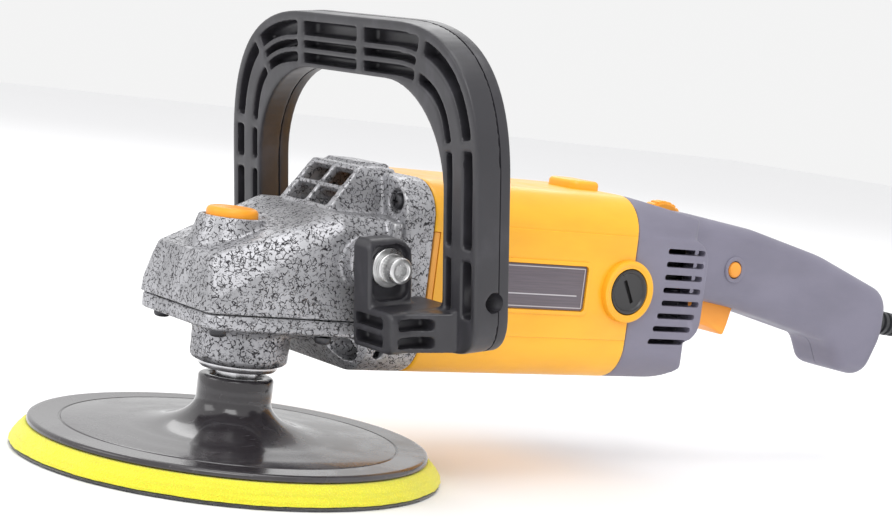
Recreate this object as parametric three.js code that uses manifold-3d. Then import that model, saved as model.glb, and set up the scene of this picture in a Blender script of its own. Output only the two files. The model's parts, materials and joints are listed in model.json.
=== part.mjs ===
// Rotary polisher with a long two-stage gear head, a D-shaped front handle and a rear pistol handle.
// Millimetres. The origin is the centre of the pad's working face, +Z runs up the spindle, and
// +X runs back along the motor towards the rear handle and the cord.
import * as THREE from "three";
import { ConvexGeometry } from "three/addons/geometries/ConvexGeometry.js";
import { mergeVertices } from "three/addons/utils/BufferGeometryUtils.js";
import Module from "manifold-3d";

const wasm = await Module();
wasm.setup();

// ---- Driving dimensions -------------------------------------------------------------------

const FIT = 0.3; // gap between faces that touch
const CLEAR = 0.8; // gap round a piece that moves

// Pad, from the floor up
const PAD_RADIUS = 90;
const HOOK_THICKNESS = 1.2;
const FOAM_THICKNESS = 8;
const PLATE_RADIUS = 83.6;
const PLATE_EDGE = 2.6;
const PLATE_GROOVE_RADIUS = 70.4;
const HUB_RADIUS = 15.7;
const HUB_HEIGHT = 26.5;
const HUB_FLARE_RADIUS = 46;
const HUB_BORE = 11; // that the spindle's shoulder drops into
const SHOULDER_DEPTH = 5;

// Spindle and its gear train
const THREAD_RADIUS = 7;
const SPINDLE_FLATS = 15;
const SPINDLE_SHOULDER_RADIUS = 8.8;
const BOSS_GAP = 6; // between the pad's hub and the gear head's boss
const COLLAR_RADIUS = 16.6;
const COLLAR_THICKNESS = 3;
const SPINDLE_RADIUS = 6;
const BOSS_RADIUS = 20.4;
const BOSS_HEIGHT = 17;
const COVER_THICKNESS = 6.5;
const MODULE = 1.25;
const PRESSURE_ANGLE = (20 * Math.PI) / 180;
const BACKLASH = 0.4;
const GEAR_TEETH = 37;
const PINION_TEETH = 11;
const GEAR_THICKNESS = 8;
const BEVEL_TEETH = 31;
const BEVEL_PINION_TEETH = 11;
const BEVEL_FACE = 7.5;
const IDLER_RADIUS = 5;
const LOCK_RADIUS = 11; // of the lock pin from the spindle's axis
const LOCK_PIN_RADIUS = 2;
const LOCK_TRAVEL = 4;
const LOCK_CAP_RADIUS = 10.2;
const LOCK_CAP_TOP = 104.5;

// Ball bearings: bore radius, outer radius, width
const SPINDLE_BEARING = { bore: SPINDLE_RADIUS, outer: 16, width: 10 };
const PILOT_BEARING = { bore: 4, outer: 8.5, width: 6 };
const IDLER_BEARING = { bore: IDLER_RADIUS, outer: 9.5, width: 5 };
const FRONT_BEARING = { bore: 5, outer: 13, width: 8 };
const REAR_BEARING = { bore: 4, outer: 11, width: 7 };

// Gear housing
const MOTOR_HEIGHT = 85.5; // of the motor's axis above the pad's working face
const NOSE_X = -32;
const NOSE_HALF_WIDTH_TOP = 25;
const NOSE_HALF_WIDTH_BOTTOM = 31;
const NOSE_TOP = 87;
const HEAD_TOP = 109.5;
const HEAD_CORNER = 7;
const HEAD_WALL = 3.5;
const SIDE_HALF_WIDTH = 40;
const FLANGE_X = 48;
const WALL_X = 50; // back of the gear chamber
const SPLIT_X = 61.8; // between the gear housing and the motor housing
const WINDOW_SLOPE = (53 * Math.PI) / 180;
const HANDLE_BOSS_RADIUS = 11;
const SCREW_RADIUS = 3.4;
const SCREW_HEAD_HEIGHT = 3;

// Motor housing
const MOTOR_HALF_HEIGHT = 41.3;
const MOTOR_HALF_WIDTH = 42;
const MOTOR_CORNER = 17;
const MOTOR_BORE = 38.6;
const MOTOR_BACK_X = 172;
const LABEL_LENGTH = 60;
const LABEL_X = 85;
const LABEL_HEIGHT = 19.5;
const LABEL_THICKNESS = 0.8;
const BRUSH_X = 168.6;
const BRUSH_BOSS_RADIUS = 13.8;
const BRUSH_CAP_RADIUS = 10.2;
const BRUSH_BOSS_HEIGHT = 3.6;

// Motor
const ARMATURE_RADIUS = MOTOR_BORE - 15;
const ARMATURE_LENGTH = 42;
const AIR_GAP = 0.9;
const SHAFT_RADIUS = 5;
const COMMUTATOR_RADIUS = 13;
const COMMUTATOR_LENGTH = 19;
const FAN_RADIUS = MOTOR_BORE - 4.6;
const FAN_BLADES = 11;
const CARBON = { width: 5, height: 8, length: 14 };

// Rear housing and its switchgear
const REAR_WALL = 2.6;
const HANDLE_HALF_WIDTH = 18.5;
const GRIP_ROUND = 9;
const TRIGGER_TRAVEL = 6;
const TRIGGER_LENGTH = 25;
const TRIGGER_DEPTH = 13.5;
const TRIGGER_HALF_WIDTH = 8.5;
const UNDERSIDE_SLOPE = (11.5 * Math.PI) / 180; // of the grip's underside, down towards the back
const BUTTON_RADIUS = 3.8;
const DIAL_RADIUS = 13;
const DIAL_THICKNESS = 7;

// D-shaped front handle, in the plane of its loop
const HANDLE_TILT = (8 * Math.PI) / 180; // of its top, forwards
const LOOP_HALF_WIDTH = 97;
const LOOP_TOP = 97.5;
const LOOP_BOTTOM = -32;
const LOOP_BAND = 24;
const LOOP_CORNER = 60;
const LOOP_FOOT_CORNER = 16;
const LOOP_DEPTH = 16;
const LOOP_SETBACK = 14; // of the loop's front face behind the bolts' axis
const LOOP_ROUND = 4.5;
const FRONT_SHELL_DEPTH = 11;
const POCKET_DEPTH = 7;
const EAR_HALF_WIDTH = 10.5;
const EAR_TOP = 12;
const EAR_THICKNESS = 12;
const EAR_DISH = 3;
const FOOT_HEIGHT = 17;
const FOOT_REACH = 73; // of the foot's outer face from the middle
const EAR_INNER = 45.8; // of the ear's inner face from the middle
const BOLT_RADIUS = 3.4;
const BOLT_HEAD_RADIUS = 5.4;
const BOLT_HEAD_HEIGHT = 7;
const BOLT_ENGAGEMENT = 16; // of its thread in the gear housing
const WASHER_RADIUS = 7.8;
const WASHER_THICKNESS = 1.4;
const SPRING_WASHER_THICKNESS = 1.8;
const BOLT_AXIS = new THREE.Vector3(31.3, 0, 91.4);

// Cord
const CORD_DIAMETER = 8;
const RELIEF_LENGTH = 52;
const RELIEF_BIG_RADIUS = 6.6;
const RELIEF_SMALL_RADIUS = 5;
const CORD_EXIT = new THREE.Vector3(366.3, 0, 72.5);
const CORD_DROOP = (6 * Math.PI) / 180; // of the strain relief below the level
const COIL_CENTRE = new THREE.Vector3(556, -66, 0);
const COIL_MID_RADIUS = 45;
const COIL_LAYERS = 3;
const CORD_SIDES = 10;

// ---- Places worked out from the driving dimensions ----------------------------------------

const FOAM_BOTTOM = HOOK_THICKNESS + FIT;
const PLATE_BOTTOM = FOAM_BOTTOM + FOAM_THICKNESS + FIT;
const PLATE_TOP = PLATE_BOTTOM + PLATE_EDGE;
const HUB_TOP = PLATE_BOTTOM + HUB_HEIGHT;
const BOSS_BOTTOM = HUB_TOP + BOSS_GAP;
const COLLAR_TOP = BOSS_BOTTOM - FIT;
const COVER_BOTTOM = BOSS_BOTTOM + BOSS_HEIGHT;
const COVER_TOP = COVER_BOTTOM + COVER_THICKNESS;
const HOUSING_BOTTOM = COVER_TOP + FIT;
const BEARING_FLOOR = BOSS_BOTTOM + 2.5;
const GEAR_BOTTOM = COVER_BOTTOM + 3;
const GEAR_TOP = GEAR_BOTTOM + GEAR_THICKNESS;
const CENTRE_DISTANCE = (MODULE * (GEAR_TEETH + PINION_TEETH)) / 2 + 0.15;
const BEVEL_RADIUS = (MODULE * BEVEL_TEETH) / 2;
const BEVEL_PINION_RADIUS = (MODULE * BEVEL_PINION_TEETH) / 2;
const PILOT_BOTTOM = GEAR_TOP + 5;
const IDLER_TOP_BEARING = MOTOR_HEIGHT - 2.5;
const FRONT_BEARING_X = WALL_X + 1.5;
const REAR_BEARING_X = MOTOR_BACK_X + 16;
const ARMATURE_X = 97;
const FAN_X = 70;
const FAN_DEPTH = 14;
const BRACKET_X = MOTOR_BACK_X + 11;
const BRACKET_THICKNESS = 4;

// ---- Finishes -----------------------------------------------------------------------------

const finish = (color, roughness, metalness = 0) =>
  new THREE.MeshStandardMaterial({ color, roughness, metalness });
const CAST = finish(0x9a999f, 0.4, 0.6);
const YELLOW = finish(0xfdb62b, 0.45);
const GREY = finish(0x84818f, 0.6);
const BLACK = finish(0x2c2c30, 0.45);
const ORANGE = finish(0xf07a1c, 0.5);
const STEEL = finish(0xc8c8cc, 0.3, 0.9);
const COPPER = finish(0xb8734a, 0.4, 0.8);
const FOAM = finish(0xf4f45e, 0.9);
const FELT = finish(0x3c3c40, 1);
const RUBBER = finish(0x404246, 0.8);
const CARBON_GREY = finish(0x26262a, 0.7);
const LABEL = finish(0x6d6470, 0.5);

// ---- Solids -------------------------------------------------------------------------------

/** Turns a closed geometry into a solid whose faces point out. */
function solid(geometry) {
  const bare = geometry.index ? geometry.toNonIndexed() : geometry.clone();
  const positions = new THREE.BufferGeometry();
  positions.setAttribute("position", bare.getAttribute("position"));
  const merged = mergeVertices(positions, 1e-4);
  const indices = [];
  for (let i = 0; i < merged.index.count; i += 3) {
    const [a, b, c] = [0, 1, 2].map((k) => merged.index.getX(i + k));
    if (a !== b && b !== c && a !== c) indices.push(a, b, c);
  }
  const build = (triangles) =>
    new wasm.Manifold(
      new wasm.Mesh({
        numProp: 3,
        vertProperties: merged.getAttribute("position").array,
        triVerts: new Uint32Array(triangles),
      }),
    );
  const made = build(indices);
  return made.volume() < 0 ? build(indices.reverse()) : made;
}

/** Moves a solid by three distances. */
const at = (body, x, y, z) => body.translate([x, y, z]);

/** Joins solids into one. */
const join = (...bodies) => bodies.reduce((sum, body) => sum.add(body));

/** Cuts the later solids out of the first. */
const cut = (body, ...tools) => tools.reduce((rest, tool) => rest.subtract(tool), body);

/** Keeps the half of a solid in front of or behind a plane square to an axis. */
function half(body, axis, place, keepAbove) {
  const big = 2000;
  const centre = [0, 0, 0];
  centre[axis] = place + (keepAbove ? big / 2 : -big / 2);
  return body.intersect(at(solid(new THREE.BoxGeometry(big, big, big)), ...centre));
}

/** A box between two corners. */
function box(x0, x1, y0, y1, z0, z1) {
  const body = solid(new THREE.BoxGeometry(x1 - x0, y1 - y0, z1 - z0));
  return at(body, (x0 + x1) / 2, (y0 + y1) / 2, (z0 + z1) / 2);
}

/** Turns a solid that stands on Z so that its axis is the named one. */
function aim(body, axis) {
  if (axis === "x") return body.rotate([0, 90, 0]);
  if (axis === "y") return body.rotate([-90, 0, 0]);
  return body;
}

/** How many facets a round solid of this radius gets. */
function facets(radius) {
  const quarter = Math.round(0.95 * Math.sqrt(radius) + 1);
  return 4 * Math.min(Math.max(quarter, 3), 10);
}

/** A solid of revolution about Z, X or Y, from a profile of [radius, place along the axis]. */
function turned(profile, axis = "z") {
  const points = profile.map(([radius, along]) => new THREE.Vector2(radius, along));
  const segments = facets(Math.max(...points.map((p) => p.x)));
  const lathe = new THREE.LatheGeometry([...points, points[0]], segments);
  lathe.rotateX(Math.PI / 2);
  return aim(solid(lathe), axis);
}

/** A ring or a disc: inner and outer radius, and its two ends along the axis. */
function ring(inner, outer, from, to, axis = "z") {
  const profile = inner > 0
    ? [[inner, from], [outer, from], [outer, to], [inner, to]]
    : [[0, from], [outer, from], [outer, to], [0, to]];
  return turned(profile, axis);
}

/** The outline of a rectangle with round corners. */
function roundedRectangle(halfWidth, halfHeight, radius) {
  const r = Math.min(radius, halfWidth, halfHeight);
  const [w, h] = [halfWidth, halfHeight];
  const shape = new THREE.Shape();
  shape.moveTo(w, h - r);
  shape.absarc(w - r, h - r, r, 0, Math.PI / 2);
  shape.absarc(r - w, h - r, r, Math.PI / 2, Math.PI);
  shape.absarc(r - w, r - h, r, Math.PI, 1.5 * Math.PI);
  shape.absarc(w - r, r - h, r, 1.5 * Math.PI, 2 * Math.PI);
  return shape;
}

/** An extrusion of an outline, with its edges rounded when a bevel is given. */
function extruded(shape, depth, { round = 0, steps = 3, curves = 5 } = {}) {
  return solid(
    new THREE.ExtrudeGeometry(shape, {
      depth: depth - 2 * round,
      bevelEnabled: round > 0,
      bevelThickness: round,
      bevelSize: round,
      bevelOffset: -round,
      bevelSegments: steps,
      curveSegments: curves,
    }),
  ).translate([0, 0, round]);
}

/** An extrusion along +X of an outline drawn in Y and Z. */
const alongX = (shape, x0, x1, options) =>
  at(extruded(shape, x1 - x0, options).rotate([90, 0, 90]), x0, 0, 0);

/** An extrusion across Y of an outline drawn in X and Z, between -halfWidth and +halfWidth. */
const acrossY = (shape, halfWidth, options) =>
  at(extruded(shape, 2 * halfWidth, options).rotate([90, 0, 0]), 0, halfWidth, 0);

/** The outline through a list of [x, y] points, each corner cut back and rounded by its radius. */
function outline(corners) {
  const shape = new THREE.Shape();
  const count = corners.length;
  corners.forEach(([x, y, radius = 0], i) => {
    const [px, py] = corners[(i + count - 1) % count];
    const [nx, ny] = corners[(i + 1) % count];
    const here = new THREE.Vector2(x, y);
    const back = new THREE.Vector2(px - x, py - y);
    const on = new THREE.Vector2(nx - x, ny - y);
    const reach = Math.min(radius, back.length() / 2, on.length() / 2);
    const start = here.clone().add(back.setLength(reach));
    const end = here.clone().add(on.setLength(reach));
    if (i === 0) shape.moveTo(start.x, start.y);
    else shape.lineTo(start.x, start.y);
    if (reach > 0) shape.quadraticCurveTo(x, y, end.x, end.y);
  });
  shape.closePath();
  return shape;
}

/** The outline of a hexagon, by the radius to its corners. */
function hexagon(radius) {
  const corners = Array.from({ length: 6 }, (_, i) => (i * Math.PI) / 3);
  const corner = (angle) => new THREE.Vector2(radius * Math.cos(angle), radius * Math.sin(angle));
  return new THREE.Shape(corners.map(corner));
}

/** The convex solid around level outlines, each given as a shape and its height. */
function wedge(levels, curves = 4) {
  const points = levels.flatMap(([shape, height]) =>
    shape.getPoints(curves).map((p) => new THREE.Vector3(p.x, p.y, height)),
  );
  return solid(new ConvexGeometry(points));
}

/** A closed ball bearing as one ring. */
function bearing({ bore, outer, width }, from, axis = "z") {
  const [inner, rim] = [bore + FIT, outer - FIT];
  return ring(inner, rim, from, from + width, axis);
}

const group = new THREE.Group();

/** Adds a solid to the model, or to a nested group, as a named mesh. */
function piece(name, body, material, parent = group) {
  const mesh = body.getMesh();
  const positions = new Float32Array(mesh.numVert * 3);
  for (let i = 0; i < mesh.numVert; i++) {
    const start = i * mesh.numProp;
    positions.set(mesh.vertProperties.subarray(start, start + 3), i * 3);
  }
  const geometry = new THREE.BufferGeometry();
  geometry.setAttribute("position", new THREE.BufferAttribute(positions, 3));
  geometry.setIndex(new THREE.BufferAttribute(mesh.triVerts, 1));
  geometry.computeVertexNormals();
  const made = new THREE.Mesh(geometry, material);
  made.name = name;
  parent.add(made);
  return made;
}

/** Runs a function for the left (-Y) and right (+Y) sides. */
function bothSides(make) {
  make("left", -1);
  make("right", 1);
}

// ---- Gears --------------------------------------------------------------------------------

/** The involute function of a pressure angle. */
const involute = (angle) => Math.tan(angle) - angle;

/** Half the angle that a spur tooth fills at a radius. */
function toothHalfAngle(teeth, radius) {
  const pitch = (MODULE * teeth) / 2;
  const base = pitch * Math.cos(PRESSURE_ANGLE);
  const here = radius > base ? Math.acos(base / radius) : 0;
  const middle = Math.PI / (2 * teeth) - BACKLASH / 2 / pitch;
  return middle + involute(PRESSURE_ANGLE) - involute(here);
}

/** The outline of a spur gear with one tooth on the +X axis. */
function spurOutline(teeth) {
  const pitch = (MODULE * teeth) / 2;
  const root = pitch - 1.2 * MODULE;
  const tip = pitch + 0.85 * MODULE;
  const radii = [root, pitch, tip];
  const points = [];
  for (let i = 0; i < teeth; i++) {
    const middle = (2 * Math.PI * i) / teeth;
    const add = (radius, side) => {
      const angle = middle + side * toothHalfAngle(teeth, radius);
      points.push(new THREE.Vector2(radius * Math.cos(angle), radius * Math.sin(angle)));
    };
    radii.forEach((radius) => add(radius, -1));
    [...radii].reverse().forEach((radius) => add(radius, 1));
  }
  return new THREE.Shape(points);
}

/** A spur gear about Z between two heights, with a bore. */
function spurGear(teeth, bore, from, to) {
  const blank = at(extruded(spurOutline(teeth), to - from), 0, 0, from);
  return cut(blank, ring(0, bore, from - 1, to + 1, "z"));
}

/** One straight bevel tooth: apex at the origin, the gear's axis down -Z, the tooth over +X. */
function bevelTooth(radius, coneAngle) {
  const outer = radius / Math.sin(coneAngle);
  const inner = outer - BEVEL_FACE;
  const levels = [
    [-1.7 * MODULE, 1.5],
    [0.85 * MODULE, 0.6],
  ];
  const halfThick = (Math.PI * MODULE) / 4 - BACKLASH / 2;
  const points = [];
  for (const distance of [outer, inner]) {
    const scale = distance / outer;
    for (const [height, share] of levels) {
      const radial = distance * Math.sin(coneAngle) + height * scale * Math.cos(coneAngle);
      const axial = -distance * Math.cos(coneAngle) + height * scale * Math.sin(coneAngle);
      const thick = halfThick * scale * share;
      points.push(new THREE.Vector3(radial, thick, axial), new THREE.Vector3(radial, -thick, axial));
    }
  }
  return solid(new ConvexGeometry(points));
}

/** A straight bevel gear with its apex at the origin and its axis down -Z. */
function bevelGear(teeth, mateTeeth, bore, hubDepth) {
  const coneAngle = Math.atan(teeth / mateTeeth);
  const radius = (MODULE * teeth) / 2;
  const rootDrop = 1.2 * MODULE;
  const outer = radius / Math.sin(coneAngle);
  const place = (distance, height) => [
    distance * Math.sin(coneAngle) + height * Math.cos(coneAngle),
    -distance * Math.cos(coneAngle) + height * Math.sin(coneAngle),
  ];
  const rim = place(outer, -rootDrop);
  const shoulder = place(outer - BEVEL_FACE, (-rootDrop * (outer - BEVEL_FACE)) / outer);
  const bottom = rim[1] - hubDepth;
  const profile = [
    [bore, shoulder[1]],
    shoulder,
    rim,
    [rim[0], bottom + 1],
    [rim[0] - 1, bottom],
    [bore, bottom],
  ];
  const blank = turned(profile, "z");
  const tooth = bevelTooth(radius, coneAngle);
  const turn = 360 / teeth;
  const crown = Array.from({ length: teeth }, (_, i) => tooth.rotate([0, 0, i * turn]));
  return join(blank, ...crown);
}

// ---- Pad ----------------------------------------------------------------------------------

function makeHookLayer() {
  piece("hook_layer", ring(0, PAD_RADIUS - 0.4, 0, HOOK_THICKNESS, "z"), FELT);
}

function makeFoamPad() {
  const top = FOAM_BOTTOM + FOAM_THICKNESS;
  const topRadius = PLATE_RADIUS + 0.6;
  const profile = [
    [HUB_BORE, FOAM_BOTTOM],
    [PAD_RADIUS, FOAM_BOTTOM],
    [PAD_RADIUS - 0.8, FOAM_BOTTOM + 0.35 * FOAM_THICKNESS],
    [topRadius, top],
    [HUB_BORE, top],
  ];
  piece("foam_pad", turned(profile, "z"), FOAM);
}

function makeBackingPlate() {
  const flare = [];
  const flareTop = HUB_TOP - 9;
  const drop = flareTop - PLATE_TOP - 1;
  const steps = 5;
  for (let i = 0; i <= steps; i++) {
    const angle = ((Math.PI / 2) * i) / steps;
    const radius = HUB_FLARE_RADIUS - (HUB_FLARE_RADIUS - HUB_RADIUS) * Math.sin(angle);
    flare.push([radius, flareTop - drop * Math.cos(angle) ** 0.9]);
  }
  flare[0][1] = PLATE_TOP + 1;
  const profile = [
    [THREAD_RADIUS + FIT, PLATE_BOTTOM],
    [PLATE_RADIUS, PLATE_BOTTOM],
    [PLATE_RADIUS, PLATE_TOP - 0.8],
    [PLATE_RADIUS - 0.8, PLATE_TOP],
    [PLATE_GROOVE_RADIUS + 0.6, PLATE_TOP + 0.3],
    [PLATE_GROOVE_RADIUS, PLATE_TOP - 0.3],
    [PLATE_GROOVE_RADIUS - 0.6, PLATE_TOP + 0.4],
    ...flare,
    [HUB_RADIUS, HUB_TOP - 0.6],
    [HUB_RADIUS - 0.6, HUB_TOP],
    [HUB_BORE, HUB_TOP],
    [HUB_BORE, HUB_TOP - SHOULDER_DEPTH],
    [THREAD_RADIUS + FIT, HUB_TOP - SHOULDER_DEPTH],
  ];
  piece("backing_plate", turned(profile, "z"), BLACK);
}

// ---- Spindle ------------------------------------------------------------------------------

/** The spindle: thread, shoulder with two flats, collar under the boss, gear seat and pilot. */
function makeSpindle() {
  const bore = SPINDLE_RADIUS;
  const shoulder = HUB_TOP - SHOULDER_DEPTH + FIT;
  const collarBottom = COLLAR_TOP - COLLAR_THICKNESS;
  const bearingTop = BEARING_FLOOR + SPINDLE_BEARING.width;
  const seat = bore + 2;
  const profile = [
    [0, PLATE_BOTTOM + 2],
    [THREAD_RADIUS - 1, PLATE_BOTTOM + 2],
    [THREAD_RADIUS, PLATE_BOTTOM + 3],
    [THREAD_RADIUS, shoulder],
    [SPINDLE_SHOULDER_RADIUS, shoulder],
    [SPINDLE_SHOULDER_RADIUS, collarBottom],
    [COLLAR_RADIUS - 2.5, collarBottom],
    [COLLAR_RADIUS, collarBottom + 1.6],
    [COLLAR_RADIUS, COLLAR_TOP],
    [bore, COLLAR_TOP],
    [bore, bearingTop + FIT],
    [seat, bearingTop + FIT],
    [seat, GEAR_BOTTOM - FIT],
    [bore, GEAR_BOTTOM - FIT],
    [bore, GEAR_TOP + FIT],
    [PILOT_BEARING.bore, GEAR_TOP + FIT],
    [PILOT_BEARING.bore, PILOT_BOTTOM + PILOT_BEARING.width],
    [0, PILOT_BOTTOM + PILOT_BEARING.width],
  ];
  const flat = box(-20, 20, SPINDLE_FLATS / 2, 20, shoulder, collarBottom);
  piece("spindle", cut(turned(profile, "z"), flat, flat.mirror([0, 1, 0])), STEEL);
}

function makeSpindleGear() {
  const blank = spurGear(GEAR_TEETH, SPINDLE_RADIUS + FIT, GEAR_BOTTOM, GEAR_TOP);
  const hole = at(ring(0, LOCK_PIN_RADIUS + 0.7, GEAR_BOTTOM - 1, GEAR_TOP + 1, "z"), LOCK_RADIUS, 0, 0);
  const holes = [0, 90, 180, 270].map((angle) => hole.rotate([0, 0, angle]));
  piece("spindle_gear", cut(blank, ...holes), STEEL);
}

function makeSpindleBearings() {
  piece("spindle_lower_bearing", bearing(SPINDLE_BEARING, BEARING_FLOOR), STEEL);
  piece("spindle_upper_bearing", bearing(PILOT_BEARING, PILOT_BOTTOM), STEEL);
}

// ---- Idler between the spindle gear and the motor's pinion --------------------------------

const IDLER_X = CENTRE_DISTANCE;
const BEVEL_RIM = MOTOR_HEIGHT - BEVEL_PINION_RADIUS;
const BEVEL_BOTTOM_DEPTH = 3;
const IDLER_FLOOR = COVER_BOTTOM - 4;

function makeIdler() {
  const idler = new THREE.Group();
  idler.position.x = IDLER_X;
  group.add(idler);
  const shaftTop = IDLER_TOP_BEARING + IDLER_BEARING.width;
  const shaft = ring(0, IDLER_RADIUS, IDLER_FLOOR, shaftTop, "z");
  const pinion = spurGear(PINION_TEETH, IDLER_RADIUS - 1, GEAR_BOTTOM, GEAR_TOP);
  piece("idler_pinion_shaft", join(shaft, pinion), STEEL, idler);
  const bevel = bevelGear(BEVEL_TEETH, BEVEL_PINION_TEETH, IDLER_RADIUS + FIT, BEVEL_BOTTOM_DEPTH);
  piece("idler_bevel_gear", at(bevel, 0, 0, MOTOR_HEIGHT), STEEL, idler);
  piece("idler_lower_bearing", bearing(IDLER_BEARING, IDLER_FLOOR), STEEL, idler);
  piece("idler_upper_bearing", bearing(IDLER_BEARING, IDLER_TOP_BEARING), STEEL, idler);
}

// ---- Gear head ----------------------------------------------------------------------------

/** The level outline of the head, at a nose half width and a back half width. */
function headOutline(nose, back, frontX, backX, radius = HEAD_CORNER) {
  return outline([
    [frontX, -nose, radius],
    [backX, -back],
    [backX, back],
    [frontX, nose, radius],
  ]);
}

/** The head's outer form above the cover. */
function headForm(inset = 0) {
  const nose = NOSE_HALF_WIDTH_TOP - inset;
  const low = NOSE_HALF_WIDTH_BOTTOM - inset;
  const front = NOSE_X + inset;
  const bevel = inset > 0 ? 0 : 3;
  const slopeEnd = 24;
  const side = SIDE_HALF_WIDTH - inset;
  const noseBack = front + 2 * HEAD_CORNER + 2;
  const nearTop = headOutline(nose, nose + 1, front + 1, noseBack);
  const nearCrown = headOutline(nose - bevel, nose + 1 - bevel, front + 1 + bevel, noseBack);
  const backTop = outline([
    [slopeEnd, -side + 2],
    [FLANGE_X, -side + 1],
    [FLANGE_X, side - 1],
    [slopeEnd, side - 2],
  ]);
  const backCrown = outline([
    [slopeEnd, -side + 2 + 2 * bevel],
    [FLANGE_X, -side + 1 + 2 * bevel],
    [FLANGE_X, side - 1 - 2 * bevel],
    [slopeEnd, side - 2 - 2 * bevel],
  ]);
  return wedge([
    [headOutline(low, side, front - 1.5, FLANGE_X), HOUSING_BOTTOM],
    [nearTop, NOSE_TOP - bevel - inset],
    [nearCrown, NOSE_TOP - inset],
    [backTop, HEAD_TOP - 2 * bevel - inset],
    [backCrown, HEAD_TOP - inset],
  ]);
}

/** The outline of the flange and the motor housing, in Y and Z. */
const motorOutline = (grow = 0) =>
  roundedRectangle(MOTOR_HALF_WIDTH + grow, MOTOR_HALF_HEIGHT + grow, MOTOR_CORNER + grow);

/** The collar that widens from the head to the flange, with its sloped window face on top. */
function collarForm() {
  const frontX = 22;
  const topX = 35;
  const bottom = MOTOR_HEIGHT - MOTOR_HALF_HEIGHT;
  const points = [];
  motorOutline().getPoints(4).forEach((p) => {
    points.push(new THREE.Vector3(SPLIT_X - FIT, p.x, MOTOR_HEIGHT + p.y));
    const frontFace = p.y > 30 ? topX : FLANGE_X - 3;
    points.push(new THREE.Vector3(frontFace, p.x, MOTOR_HEIGHT + p.y));
  });
  for (const side of [-1, 1]) {
    points.push(new THREE.Vector3(topX + 1, side * 22, MOTOR_HEIGHT + MOTOR_HALF_HEIGHT + 2));
    points.push(new THREE.Vector3(SPLIT_X - 8, side * 20, MOTOR_HEIGHT + MOTOR_HALF_HEIGHT + 2));
    points.push(new THREE.Vector3(frontX, side * 25, HEAD_TOP + 1));
    points.push(new THREE.Vector3(frontX, side * 25, bottom + 13));
    points.push(new THREE.Vector3(frontX + 10, side * 36, MOTOR_HEIGHT));
  }
  return solid(new ConvexGeometry(points));
}

/** The four air windows in the collar's sloped face, two across and two up. */
function airWindows() {
  const windows = [];
  const slope = 90 - (WINDOW_SLOPE * 180) / Math.PI;
  for (const side of [-1, 1]) {
    for (const row of [0, 1]) {
      const block = box(-9, 9, -6.8, 6.8, -3.6, 3.6).rotate([0, -slope, 0]);
      windows.push(at(block, 26.5 + 7.4 * row, side * 8.6, 114.5 + 8.4 * row));
    }
  }
  return windows;
}

/** Where the four flange screws stand, as [y, z] from the motor's axis. */
const FLANGE_SCREWS = [
  [-32, 31],
  [32, 31],
  [-32, -31],
  [32, -31],
];

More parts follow.
